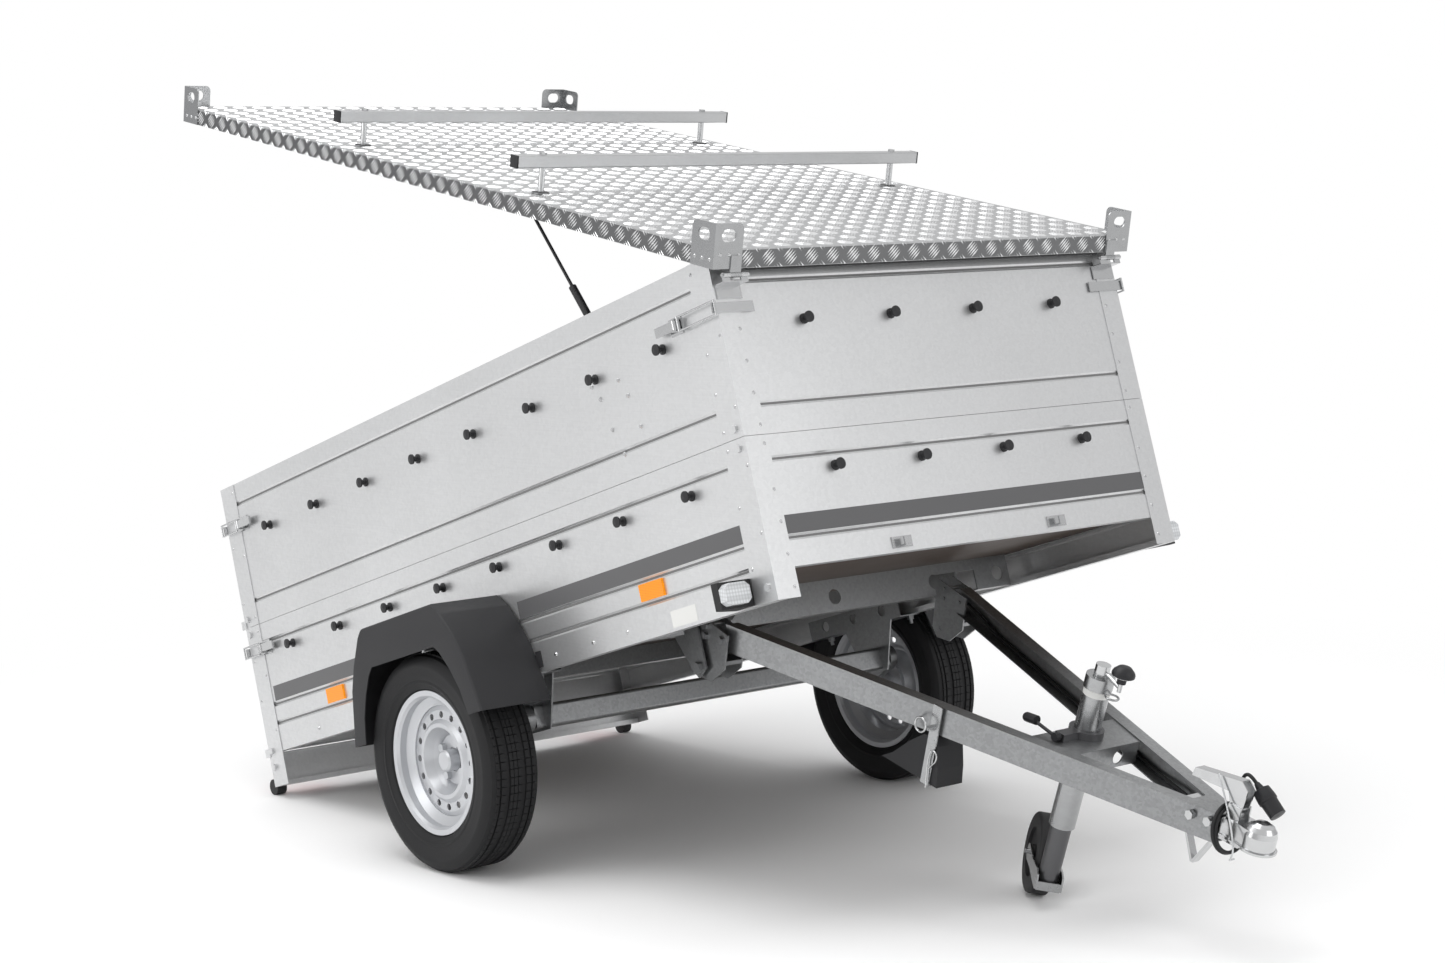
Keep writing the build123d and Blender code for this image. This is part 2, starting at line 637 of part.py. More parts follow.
def roof_bars():
    bars = []
    for spot in BAR_SPOTS:
        x, z = bar_centre(spot)
        section = RectangleRounded(BAR, BAR, 3) - RectangleRounded(BAR - 4, BAR - 4, 1)
        plane = Plane(origin=(x, BAR_L / 2, z), x_dir=(1, 0, 0), z_dir=(0, -1, 0))
        bars += [lid_place(plane * extrude(section, amount=BAR_L))]
    return bars


def bar_posts():
    """Sleeves that stand the roof bars off the lid, and the bolt heads on top."""
    out = []
    for spot in BAR_SPOTS:
        x, z = bar_centre(spot)
        low = LID_EDGE + LID_LIP
        post = bar_between((x, BAR_FOOT_Y, low + 3), (x, BAR_FOOT_Y, z - BAR / 2), 8)
        head = Pos(x, BAR_FOOT_Y, z + BAR / 2) * hexagon(15, 6)
        out += both_sides(lid_place(post)) + both_sides(lid_place(head))
    return out


def bar_caps():
    """Black end plugs of the bars and the rubber pads under the posts."""
    out = []
    for spot in BAR_SPOTS:
        x, z = bar_centre(spot)
        half = BAR_L / 2
        cap = block(x - BAR / 2, x + BAR / 2, half, half + 4, z - BAR / 2, z + BAR / 2)
        low = LID_EDGE + LID_LIP
        pad = bar_between((x, BAR_FOOT_Y, low), (x, BAR_FOOT_Y, low + 3), 22)
        out += both_sides(lid_place(cap)) + both_sides(lid_place(pad))
    return out


def lid_point(back, up):
    """Box-frame X and Z of a point of the open lid, back from its nose and up from its edge."""
    a = radians(LID_OPEN)
    x, z = LID_NOSE - back, LID_EDGE + up
    return HINGE_X + x * cos(a) + z * sin(a), HINGE_Z - x * sin(a) + z * cos(a)


SPRING_END = lid_point(*SPRING_TOP)
SPRING_LEN = sqrt((SPRING_END[0] - SPRING_LOW[0]) ** 2 + (SPRING_END[1] - SPRING_LOW[1]) ** 2)
SPRING_DIR = ((SPRING_END[0] - SPRING_LOW[0]) / SPRING_LEN, (SPRING_END[1] - SPRING_LOW[1]) / SPRING_LEN)


def on_spring(distance):
    return SPRING_LOW[0] + SPRING_DIR[0] * distance, SPRING_Y, SPRING_LOW[1] + SPRING_DIR[1] * distance


def spring_cylinders():
    x, z = SPRING_LOW
    eye = bar_between((x, SPRING_Y - 6, z), (x, SPRING_Y + 6, z), 9)
    body = bar_between(on_spring(6), on_spring(SPRING_BODY_L), 9.5) + eye
    body -= bar_between(on_spring(30), on_spring(SPRING_BODY_L + 1), 8)
    guide = tube_between(on_spring(SPRING_BODY_L - 14), on_spring(SPRING_BODY_L), 9.5, 4 + RUN_FIT)
    body += guide
    body -= bar_between((x, SPRING_Y - 20, z), (x, SPRING_Y + 20, z), 5 + RUN_FIT)
    return both_sides(body)


def spring_rods():
    x, z = SPRING_END
    rod = bar_between(on_spring(SPRING_BODY_L - 40), on_spring(SPRING_LEN - 4), 4)
    rod += bar_between(on_spring(SPRING_BODY_L - 48), on_spring(SPRING_BODY_L - 40), 7.6)
    rod += bar_between((x, SPRING_Y - 6, z), (x, SPRING_Y + 6, z), 8)
    rod -= bar_between((x, SPRING_Y - 20, z), (x, SPRING_Y + 20, z), 4 + RUN_FIT)
    return both_sides(rod)


# ---------------------------------------------------------------- drawbar

def draw_place(shape):
    return Pos(PIVOT_X, 0, PIVOT_Z) * Rot(0, DRAW_FOLD, 0) * shape


def arm_face(x):
    """Y of an arm's outer face at X along the drawbar."""
    return ARM_Y0 - ARM_SLOPE * x


def arm():
    """A folded channel, open to the inside, cut off flat at both ends."""
    z0, z1 = ARM_TOP - ARM_H, ARM_TOP
    section = [(0, z0), (0, z1), (-ARM_FLANGE, z1), (-ARM_FLANGE, z1 - ARM_T), (-ARM_T, z1 - ARM_T),
               (-ARM_T, z0 + ARM_T), (-ARM_FLANGE, z0 + ARM_T), (-ARM_FLANGE, z0)]
    long = plate_x(section, 0, 1500)
    angle = degrees(atan(ARM_SLOPE))
    bar = Pos(-60, arm_face(-60), 0) * Rot(0, 0, -angle) * long
    keep = block(ARM_START, ARM_END, 0.1, 500, 0, 200)
    cut = bar & keep
    for tool in [hinge_plates()] + coupling_bolts():
        cut -= tool
    return cut


def gusset_plate():
    """The channel across the arms that carries the jockey wheel, and the small plate at the tip."""
    z1 = ARM_TOP - ARM_T
    wall = ARM_T * 1.06 + 0.1

    def across(x0, x1, low, high):
        a, b = arm_face(x0) - wall, arm_face(x1) - wall
        return plate_z([(x0, -a), (x1, -b), (x1, b), (x0, a)], low, high)

    plate = across(790, 905, z1 - 3, z1)
    wall = ARM_FLANGE * 1.05 + 2
    plate += across(902, 905, z1 - 52, z1)
    plate += across(790, 793, z1 - 52, z1)
    plate -= jockey_place(Cylinder(JOCKEY_R + 0.8, 30))
    plate -= bar_between((890, 36, z1 - 28), (920, 36, z1 - 28), 16)
    a = arm_face(1172) - ARM_FLANGE * 1.05
    b = 1.5
    tip = plate_z([(1172, -a), (1232, -b), (1232, b), (1172, a)], z1, ARM_TOP)
    return [plate, tip]


def hinge_plates():
    """Rounded plates bolted to the arms' rear ends, which turn on the pivot bolts."""
    y = HANGER_Y - 14
    outline = [(-44, 118), (66, 104), (72, 20), (34, -24), (-10, -30), (-32, -8)]
    outer = plate_y(outline, y, y + 5)
    outer -= bar_between((0, y - 1, 0), (0, y + 6, 0), PIVOT_R + RUN_FIT)
    inner = plate_y(outline, y - 50, y - 46)
    inner -= bar_between((0, y - 60, 0), (0, y - 40, 0), PIVOT_R + RUN_FIT)
    bolts = []
    for x, z in ((-14, 100), (-10, 76), (45, 86)):
        bolts += [bar_between((x, y - 54, z), (x, y + 5, z), 5) + Pos(0, 0, 0) * (
            Plane(origin=(x, y + 5, z), z_dir=(0, 1, 0)) * hexagon(17, 8))]
    piece = outer
    for bolt in bolts:
        piece += bolt
    piece += inner
    spacer = plate_z([(34, y - 46), (70, y - 46), (70, y), (34, y)], 30, 40)
    return piece + spacer


def ring_solid(points):
    """A solid of revolution about Z from an outline of radius and height."""
    return revolve(Plane.XZ * make_face(Polyline(*points, close=True)), Axis.Z)


def coupling_body():
    """A pressed ball coupling: shank between the arms, domed head, open socket below."""
    shank = block(1150, 1312, -24, 24, 68, 116)
    dome = [(0, 77.5), (41, 77.5), (41, 82.5), (36, 83), (36, 112), (33, 124), (26, 133), (15, 139), (0, 141)]
    socket = [(0, 70), (25.1, 70), (25.1, 94), (22.6, 105), (15, 114), (0, 119)]
    neck = plate_z([(1290, -26), (1345, -34), (1345, 34), (1290, 26)], 81, 122)
    lip = plate_z([(1262, -30), (1345, -39), (1345, 39), (1262, 30)], 78, 82)
    body = shank + neck + lip + Pos(BALL_X, 0, 0) * ring_solid(dome)
    body -= Pos(BALL_X, 0, 0) * ring_solid(socket)
    body -= block(1120, 1290, -20, 20, 60, 112)
    for side in (-1, 1):
        ear = sorted((side * 14, side * 18))
        body += block(1262, 1296, *ear, 115, 150)
    body += bar_between((1279, -18, 138), (1279, 18, 138), 5)
    for x in BOLT_SPOTS:
        body -= bar_between((x, -60, BOLT_Z), (x, 60, BOLT_Z), 6)
    return body


def coupling_handle():
    """The pressed lifting handle, which turns on the pin between the coupling's ears."""
    side_line = [(1268, 130), (1292, 130), (1300, 190), (1280, 206), (1155, 184), (1150, 164), (1252, 172)]
    cheek = plate_y(side_line, 10.5, 13.5)
    handle = cheek + mirror(cheek, about=Plane.XZ)
    handle += plate_y([(1280, 203), (1155, 181), (1155, 184), (1280, 206)], -13.5, 13.5)
    handle -= bar_between((1279, -30, 138), (1279, 30, 138), 5 + RUN_FIT)
    return handle


BOLT_SPOTS = (1200.0, 1240.0)
BOLT_Z = 101.0


def coupling_bolts():
    out = []
    for x in BOLT_SPOTS:
        shaft = bar_between((x, -arm_face(x) - 2, BOLT_Z), (x, arm_face(x) + 2, BOLT_Z), 6)
        for side in (-1, 1):
            seat = arm_face(x - 9) + 0.2
            spot = Plane(origin=(x, side * seat, BOLT_Z), z_dir=(0, side, 0))
            shaft += spot * hexagon(19, 11)
        out += [shaft]
    return out


def jockey_place(shape):
    """From the jockey tube's own frame, origin in the gusset's top, to the drawbar frame."""
    return Pos(JOCKEY_X, 0, ARM_TOP - ARM_T) * Rot(0, JOCKEY_LEAN, 0) * shape


def jockey_clamp():
    """The clamp ring on the gusset with the block for its screw."""
    z = ARM_TOP - ARM_T
    ring = Pos(JOCKEY_X, 0, z + 9) * Cylinder(40, 18)
    lug = block(JOCKEY_X - 14, JOCKEY_X + 14, -86, -34, z, z + 18)
    lug -= bar_between((JOCKEY_X, -90, z + 10), (JOCKEY_X, -30, z + 10), 5 + RUN_FIT)
    return (ring + lug) - jockey_place(Cylinder(JOCKEY_R + RUN_FIT, 80))


def clamp_lever():
    """The clamp's screw with its cranked lever and oval grip."""
    z = ARM_TOP - ARM_T + 10
    screw = bar_between((JOCKEY_X, -98, z), (JOCKEY_X, -44, z), 5)
    hub = bar_between((JOCKEY_X, -102, z), (JOCKEY_X, -88, z), 10)
    lever = bar_between((JOCKEY_X, -96, z), (JOCKEY_X - 64, -98, z + 10), 4)
    grip = Pos(JOCKEY_X - 76, -98, z + 12) * Rot(0, 82, 0) * (Cylinder(11, 30) + Pos(0, 0, -15) * Sphere(11))
    return screw + hub + lever + grip


def jockey_tube():
    """Outer tube with a collar at the head and a guide ring at its foot."""
    top = JOCKEY_TOP
    tube = tube_between((0, 0, JOCKEY_LOW), (0, 0, top), JOCKEY_R, 27)
    tube += tube_between((0, 0, JOCKEY_LOW), (0, 0, JOCKEY_LOW + 20), 28, 24 + RUN_FIT)
    tube += tube_between((0, 0, top - 6), (0, 0, top + 24), 33, 8 + RUN_FIT)
    eye = Pos(JOCKEY_R + 15, 0, top - 8) * Torus(15, 2.5)
    return jockey_place(tube + eye)


def jockey_crank():
    """Crank head and arm with its knob: the screw reaches down into the inner tube."""
    top = JOCKEY_TOP + 24
    screw = bar_between((0, 0, JOCKEY_LOW + 60), (0, 0, top + 1), 8)
    cap = bar_between((0, 0, top + 0.5), (0, 0, top + 27), 17)
    arm_bar = bar_between((0, 0, top + 14), (65, -7, top + 2), 5)
    pin = bar_between((65, -7, top - 8), (65, -7, top + 14), 5)
    line = [(0, 0), (10, 0), (10, 12), (26, 18), (26, 24), (14, 38), (0, 40)]
    knob = Pos(65, -7, top + 14) * revolve(Plane.XZ * make_face(Polyline(*line, close=True)), Axis.Z)
    return [jockey_place(screw + cap + arm_bar + pin), jockey_place(knob)]


def caster_height():
    """Height of the jockey wheel's centre in the tube's frame, with its tyre on the ground."""
    draw_pitch = radians(DRAW_FOLD - BOX_TIP)
    pitch = draw_pitch + radians(JOCKEY_LEAN)
    yaw = radians(CASTER_YAW)
    across = sin(yaw) * sin(pitch)
    reach = (CASTER_R - CASTER_ROUND) * sqrt(1 - across ** 2)
    reach += (CASTER_W / 2 - CASTER_ROUND) * abs(across) + CASTER_ROUND
    origin = ground_height(PIVOT_X, PIVOT_Z) - JOCKEY_X * sin(draw_pitch) + (ARM_TOP - ARM_T) * cos(draw_pitch)
    return (reach - origin - CASTER_TRAIL * cos(yaw) * sin(pitch)) / cos(pitch)


CASTER_Z = caster_height()
INNER_LOW = CASTER_Z - 16
INNER_TOP = JOCKEY_LOW + 48
WEB_T = 5.0


def caster_place(shape):
    """From the fork's own frame, which trails along -X, to the drawbar frame."""
    return jockey_place(Pos(0, 0, CASTER_Z) * Rot(0, 0, -CASTER_YAW) * shape)


def jockey_nut():
    """The inner tube, closed at its head by the nut that climbs the crank's screw."""
    tube = tube_between((0, 0, INNER_LOW + WEB_T + 0.2), (0, 0, INNER_TOP), 24, 20)
    nut = tube_between((0, 0, INNER_TOP - 1), (0, 0, INNER_TOP + 14), 24, 8 + RUN_FIT)
    return jockey_place(tube + nut)


def jockey_fork():
    """The trailing fork that carries the wheel's axle, with its spigot up in the inner tube."""
    spigot = bar_between((0, 0, INNER_LOW + 1), (0, 0, INNER_LOW + 45), 20 - RUN_FIT)
    half = CASTER_W / 2 + 3
    low = INNER_LOW - CASTER_Z
    outline = [(-CASTER_TRAIL - 18, -12), (-CASTER_TRAIL - 14, 14), (-CASTER_TRAIL, 20), (-60, 16), (0, 26),
               (24, 22), (30, 8), (30, low + 4), (18, low), (-24, low), (-70, -14), (-CASTER_TRAIL, -20)]
    cheeks = plate_y(outline, half, half + 4) + plate_y(outline, -half - 4, -half)
    band = block(26, 30, -half, half, low + 4, 8)
    web = block(-26, 26, -half, half, low, low + WEB_T)
    axle = bar_between((-CASTER_TRAIL, -half - 12, 0), (-CASTER_TRAIL, half + 12, 0), 6)
    fork = caster_place(cheeks + band + web + axle)
    return fork + jockey_place(spigot)


def jockey_wheel():
    wheel = Cylinder(CASTER_R, CASTER_W)
    wheel = fillet(wheel.edges(), CASTER_ROUND)
    wheel -= Cylinder(6 + RUN_FIT, CASTER_W + 2)
    for side in (-1, 1):
        wheel -= Pos(0, 0, side * CASTER_W / 2) * (Cylinder(58, 16) - Cylinder(18, 16))
    return caster_place(Pos(-CASTER_TRAIL, 0, 0) * Rot(90, 0, 0) * wheel)


STRAP_Y = arm_face(CHOCK_X)


def chock_holder():
    """A strap over the right arm that carries the wheel chock on its lower end."""
    y = -STRAP_Y - 6
    strap = block(CHOCK_X - 14, CHOCK_X + 14, y - 3, y, -66, 124)
    strap += block(CHOCK_X - 10, CHOCK_X + 10, y, y + 2.5, 84, 106)
    strap += block(CHOCK_X - 14, CHOCK_X + 14, y, y + 30, -66, -63)
    return strap


def wheel_chock():
    """A wedge with a hollow back, hung under the arm behind its strap."""
    y1 = -STRAP_Y - 5.5
    outline = [(CHOCK_X - 150, -62), (CHOCK_X + 36, -62), (CHOCK_X + 30, -20), (CHOCK_X + 16, 30),
               (CHOCK_X + 4, 46), (CHOCK_X - 30, 44), (CHOCK_X - 70, 10), (CHOCK_X - 118, -40)]
    wedge = plate_y(outline, y1, y1 + 80)
    hollow = plate_y([(CHOCK_X - 96, -50), (CHOCK_X + 18, -50), (CHOCK_X + 14, -22), (CHOCK_X - 70, -22)],
                     y1 + 12, y1 + 81)
    return wedge - hollow


def drawbar_fittings():
    """Support loop under the tip, the chock's pin with its ring, and the spring clip."""
    loop = plate_y([(1150, 54), (1156, 54), (1194, -16), (1232, 54), (1238, 54), (1198, -22), (1190, -22)],
                   -10, 10)
    y = -STRAP_Y - 9
    pin = bar_between((CHOCK_X - 8, y - 16, 70), (CHOCK_X - 8, y, 70), 5)
    ring = Pos(CHOCK_X - 26, y - 19, 72) * Rot(90, 0, 0) * Torus(17, 2.5)
    clip = wire([(CHOCK_X + 10, y - 5, -70), (CHOCK_X + 2, y - 5, 0), (CHOCK_X + 8, y - 5, 24),
                 (CHOCK_X + 26, y - 5, 20), (CHOCK_X + 28, y - 5, 2), (CHOCK_X + 10, y - 5, -22)], 1.8)
    return [loop, pin + ring, clip]


CABLE_R = 4.0
CABLE_START = 60.0


def arm_cable_point(x, inset, z):
    return x, arm_face(x) - inset, z


def wiring_cable():
    """The lead to the towing car: along the left arm, then round the coupling's neck."""
    low = ARM_TOP - ARM_H + ARM_T + CABLE_R + 1
    route = [arm_cable_point(CABLE_START, 14, low + 22), arm_cable_point(115, 12, low + 18),
             arm_cable_point(175, 10, low + 9), arm_cable_point(235, 9, low + 3)]
    for k in range(1, 13):
        swing = 2.5 if k % 2 else 0
        route += [arm_cable_point(235 + 57 * k, 9 + swing, low + 2 + swing)]
    route += [arm_cable_point(975, 13, low + 4), arm_cable_point(1032, 16, low + 9),
              (1085, 64, low + 12), (1135, 55, low + 10)]
    return wire(route, CABLE_R)


def cable_coil():
    """The lead's slack wound round the coupling's neck, and its end up to the plug."""
    coil = Pos(1266, 0, 88) * Rot(0, 75, 0) * Torus(54, 8)
    end = wire([(1250, 42, 122), (1246, 44, 150), (1248, 43, 180), (1260, 40, 202.8), (1278, 40, 192)], CABLE_R)
    return coil + end


def connector_plug():
    """The seven-pole plug at the lead's end, held up by the handle."""
    line = [(0, 0), (6, 0), (9, 14), (19, 18), (21, 36), (21, 46), (19, 48), (18, 82), (0, 84)]
    plug = revolve(Plane.XZ * make_face(Polyline(*line, close=True)), Axis.Z)
    return Pos(1278.2, 40, 191.9) * Rot(0, 121, 0) * plug


def breakaway_cable():
    """The steel safety rope: from the handle, over the near side of the coupling, to below."""
    return wire([(1222, -19, 200), (1244, -22, 172), (1268, -27, 142), (1290, -36, 118), (1312, -46, 94),
                 (1324, -50, 68), (1314, -42, 46), (1300, -24, 34), (1296, -4, 32)], 2.0)


# ---------------------------------------------------------------- assembly

def draw_all(shapes):
    return [draw_place(s) for s in shapes]


def build_parts():
    parts = {
        "floor_panel": [floor_panel()],
        "front_board": [front_wall(FRONT_BOTTOM, LOWER_H, (131.0, 307.0))],
        "raised_front_board": [front_wall(LOWER_H + SEAM, BOX_TOP, UPPER_GROOVES)],
        "corner_posts": corner_posts(),
        "rear_valance": rear_valance(),
        "cross_members": cross_members(),
        "hinge_hangers": hinge_hangers(),
        "axle_mounts": axle_mounts(),
        "axle_beam": axle_beam(),
        "tarp_knobs": tarp_knobs(),
        "rubber_mounts": rubber_mounts(),
        "lamp_lenses": lamp_lenses(),
        "side_reflectors": side_reflectors(),
        "box_fittings": box_fittings(),
        "lid_mounts": lid_mounts(),
        "tailgate_lower": [gate(3, LOWER_H - 1.5, (78.0, 307.0))] + gate_keepers(292.0),
        "tailgate_raised": [gate(LOWER_H + SEAM + 9, BOX_TOP - 1, UPPER_GROOVES)] + gate_keepers(648.0),
        "lid_tray": [lid_tray()],
        "lid_brackets": lid_brackets(),
        "roof_bars": roof_bars(),
        "bar_mounts": bar_posts() + bar_caps(),
        "spring_cylinders": spring_cylinders(),
        "spring_rods": spring_rods(),
        "hinge_plates": draw_all(both_sides(hinge_plates())),
        "gusset_plate": draw_all(gusset_plate()),
        "coupling_body": draw_all([coupling_body()]),
        "coupling_handle": draw_all([coupling_handle()]),
        "coupling_bolts": draw_all(coupling_bolts()),
        "jockey_clamp": draw_all([jockey_clamp()]),
        "clamp_lever": draw_all([clamp_lever()]),
        "jockey_tube": draw_all([jockey_tube()]),
        "jockey_crank": draw_all(jockey_crank()),
        "jockey_nut": draw_all([jockey_nut()]),
        "jockey_fork": draw_all([jockey_fork()]),
        "jockey_wheel": draw_all([jockey_wheel()]),
        "chock_holder": draw_all([chock_holder()]),
        "wheel_chock": draw_all([wheel_chock()]),
        "drawbar_fittings": draw_all(drawbar_fittings()),
        "wiring_cable": draw_all([wiring_cable()]),
        "cable_coil": draw_all([cable_coil()]),
        "connector_plug": draw_all([connector_plug()]),
        "breakaway_cable": draw_all([breakaway_cable()]),
    }
    lower = side_wall(0, LOWER_H, LOWER_GROOVES, True)
    raised = side_wall(LOWER_H + SEAM, BOX_TOP, UPPER_GROOVES, False)
    paired = {"side_board": [lower], "raised_side": [raised], "mudguard": [mudguard()], "tyre": [tyre()],
              "rim": rim(), "drawbar_arm": [draw_place(arm())]}
    for name, x, way, _, z in latch_spots():
        paired["latch_" + name] = [latch_lever(x, way, z)]
    for name, shapes in paired.items():
        parts[name + "_left"] = shapes
        parts[name + "_right"] = [mirror(s, about=Plane.XZ) for s in shapes]
    return parts


def row_place():
    """The move from the box frame to the row frame: tipped, on the ground, centred in X."""
    tip = radians(BOX_TIP)
    draw_pitch = radians(DRAW_FOLD)
    nose = (BALL_X + 41, 77.5)
    nose_x = PIVOT_X + nose[0] * cos(draw_pitch) + nose[1] * sin(draw_pitch)
    nose_z = PIVOT_Z - nose[0] * sin(draw_pitch) + nose[1] * cos(draw_pitch)
    front = nose_x * cos(tip) - nose_z * sin(tip)
    tail = lid_point(LID_L + 3, 0)
    rear = tail[0] * cos(tip) - tail[1] * sin(tip)
    lift = TYRE_R - (WHEEL_X * sin(tip) + WHEEL_Z * cos(tip))
    return Pos(-(front + rear) / 2, 0, lift) * TOP_TURN


def main():
    os.makedirs("parts", exist_ok=True)
    place = row_place()
    for name, shapes in build_parts().items():
        solids = [solid for shape in shapes for solid in (place * shape).solids()]
        export_step(Compound(children=solids), f"parts/{name}.step")


main()
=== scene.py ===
from math import cos, pi, radians, sin
import bmesh
import bpy
from mathutils import Euler, Matrix, Vector


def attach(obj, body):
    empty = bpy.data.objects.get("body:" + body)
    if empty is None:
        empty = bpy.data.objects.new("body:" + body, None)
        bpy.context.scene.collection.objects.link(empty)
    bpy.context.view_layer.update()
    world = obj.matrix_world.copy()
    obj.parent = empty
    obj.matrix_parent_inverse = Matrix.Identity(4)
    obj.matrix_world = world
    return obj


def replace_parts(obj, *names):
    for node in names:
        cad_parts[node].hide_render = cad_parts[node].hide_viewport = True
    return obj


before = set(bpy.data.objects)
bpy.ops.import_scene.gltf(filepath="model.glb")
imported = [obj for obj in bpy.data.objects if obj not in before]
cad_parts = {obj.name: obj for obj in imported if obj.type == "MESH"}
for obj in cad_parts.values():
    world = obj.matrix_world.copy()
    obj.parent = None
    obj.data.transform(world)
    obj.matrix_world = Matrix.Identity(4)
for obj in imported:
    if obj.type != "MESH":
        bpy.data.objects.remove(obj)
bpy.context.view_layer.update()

# ------------------------------------------------------------------ camera and studio
# A view of the trailer's right front corner from a little above it, with a slight roll.
# The long lens keeps the box almost square. The studio is white paper and three softboxes.

VIEW_AZIMUTH = radians(141.04)
VIEW_PITCH = radians(-5.53)
VIEW_ROLL = radians(-1.76)
CAMERA_PLACE = (5.178, -4.273, 1.5675)
PAPER_EDGE, PAPER_GONE = 1.6, 4.2
FLOOR_HALF = 30.0

camera = bpy.data.objects.new("camera", bpy.data.cameras.new("camera"))
camera.data.lens = 66.22
camera.data.sensor_width = 36.0
camera.data.clip_end = 200.0
level = Euler((pi / 2 + VIEW_PITCH, 0, VIEW_AZIMUTH - pi / 2)).to_matrix().to_4x4()
camera.matrix_world = Matrix.Translation(CAMERA_PLACE) @ level @ Matrix.Rotation(VIEW_ROLL, 4, "Z")
bpy.context.collection.objects.link(camera)
bpy.context.scene.camera = camera
bpy.context.scene.view_settings.view_transform = "Standard"


def add_node(tree, kind, inputs=None, **settings):
    """One shader node with its settings and its unlinked input values."""
    made = tree.nodes.new(kind)
    for key, value in settings.items():
        setattr(made, key, value)
    for key, value in (inputs or {}).items():
        made.inputs[key].default_value = value
    return made


def studio_world():
    """A white studio that is brightest overhead and dimmer towards the floor."""
    world = bpy.data.worlds.new("studio")
    world.use_nodes = True
    tree = world.node_tree
    tree.nodes.clear()
    place = add_node(tree, "ShaderNodeTexCoord")
    split = add_node(tree, "ShaderNodeSeparateXYZ")
    ramp = add_node(tree, "ShaderNodeValToRGB")
    stops = ramp.color_ramp
    stops.elements[0].position, stops.elements[0].color = 0.30, (0.30, 0.30, 0.31, 1)
    stops.elements[1].position, stops.elements[1].color = 0.78, (1.0, 1.0, 1.0, 1)
    middle = stops.elements.new(0.5)
    middle.color = (0.66, 0.66, 0.67, 1)
    lift = add_node(tree, "ShaderNodeMapRange", {"From Min": -1.0, "From Max": 1.0})
    light = add_node(tree, "ShaderNodeBackground", {"Strength": 0.85})
    paper = add_node(tree, "ShaderNodeBackground", {"Color": (1, 1, 1, 1), "Strength": 1.0})
    seen = add_node(tree, "ShaderNodeLightPath")
    pick = add_node(tree, "ShaderNodeMixShader")
    out = add_node(tree, "ShaderNodeOutputWorld")
    tree.links.new(place.outputs["Generated"], split.inputs[0])
    tree.links.new(split.outputs["Z"], lift.inputs["Value"])
    tree.links.new(lift.outputs[0], ramp.inputs[0])
    tree.links.new(ramp.outputs[0], light.inputs["Color"])
    tree.links.new(seen.outputs["Is Camera Ray"], pick.inputs[0])
    tree.links.new(light.outputs[0], pick.inputs[1])
    tree.links.new(paper.outputs[0], pick.inputs[2])
    tree.links.new(pick.outputs[0], out.inputs[0])
    bpy.context.scene.world = world


studio_world()


def softbox(name, place, aim, width, power):
    """A square soft light of a width in metres and a power in watts, turned to its aim."""
    lamp = bpy.data.lights.new(name, "AREA")
    lamp.shape = "SQUARE"
    lamp.size = width
    lamp.energy = power
    holder = bpy.data.objects.new(name, lamp)
    turn = (Vector(aim) - Vector(place)).to_track_quat("-Z", "Y").to_matrix().to_4x4()
    holder.matrix_world = Matrix.Translation(place) @ turn
    bpy.context.collection.objects.link(holder)


softbox("softbox_overhead", (-0.5, -1.0, 5.5), (-0.4, 0.0, 0.8), 4.5, 170)
softbox("softbox_side", (-1.5, -5.5, 2.6), (-0.6, 0.0, 0.8), 3.0, 70)
softbox("softbox_front", (5.5, 1.5, 2.2), (0.4, 0.0, 0.7), 2.5, 36)


def studio_floor():
    """White paper under the trailer that fades into the white backdrop all round."""
    paper = bpy.data.materials.new("floor_paper")
    paper.use_nodes = True
    tree = paper.node_tree
    skin = tree.nodes["Principled BSDF"]
    skin.inputs["Base Color"].default_value = (0.93, 0.93, 0.93, 1)
    skin.inputs["Roughness"].default_value = 0.95
    place = add_node(tree, "ShaderNodeTexCoord")
    away = add_node(tree, "ShaderNodeVectorMath", operation="LENGTH")
    fade = add_node(tree, "ShaderNodeMapRange", {"From Min": PAPER_EDGE, "From Max": PAPER_GONE},
                    interpolation_type="SMOOTHSTEP")
    glow = add_node(tree, "ShaderNodeEmission", {"Color": (1, 1, 1, 1), "Strength": 1.0})
    mix = add_node(tree, "ShaderNodeMixShader")
    tree.links.new(place.outputs["Object"], away.inputs[0])
    tree.links.new(away.outputs["Value"], fade.inputs["Value"])
    tree.links.new(fade.outputs[0], mix.inputs[0])
    tree.links.new(skin.outputs[0], mix.inputs[1])
    tree.links.new(glow.outputs[0], mix.inputs[2])
    tree.links.new(mix.outputs[0], tree.nodes["Material Output"].inputs["Surface"])
    bm = bmesh.new()
    bmesh.ops.create_grid(bm, x_segments=1, y_segments=1, size=FLOOR_HALF)
    mesh = bpy.data.meshes.new("studio_floor")
    bm.to_mesh(mesh)
    bm.free()
    mesh.materials.append(paper)
    ground = bpy.data.objects.new("studio_floor", mesh)
    bpy.context.collection.objects.link(ground)


studio_floor()

# ------------------------------------------------------------------ wiring lead along the drawbar
# A black rubber-sheathed lead, 8 mm across. It is clipped inside the left arm from the
# hinge to the tip, where it comes out to be wound round the coupling's neck.

BOX_TIP = radians(16.0)
DRAW_FOLD = radians(31.9)
ROW_SHIFT = Vector((0.857679, 0.0, 0.762369))
BOX_PLACE = Matrix.Translation(ROW_SHIFT) @ Matrix.Rotation(-BOX_TIP, 4, "Y")
PIVOT = Vector((-0.585, 0.0, -0.075))
DRAW_PLACE = BOX_PLACE @ Matrix.Translation(PIVOT) @ Matrix.Rotation(DRAW_FOLD, 4, "Y")
ARM_REAR_HALF, ARM_SLOPE = 0.4091, 0.301
ARM_TOP, ARM_HEIGHT, ARM_SHEET = 120.2, 65.0, 3.0
LEAD_ACROSS = 0.008
CLIPS, CLIP_PITCH = 12, 57


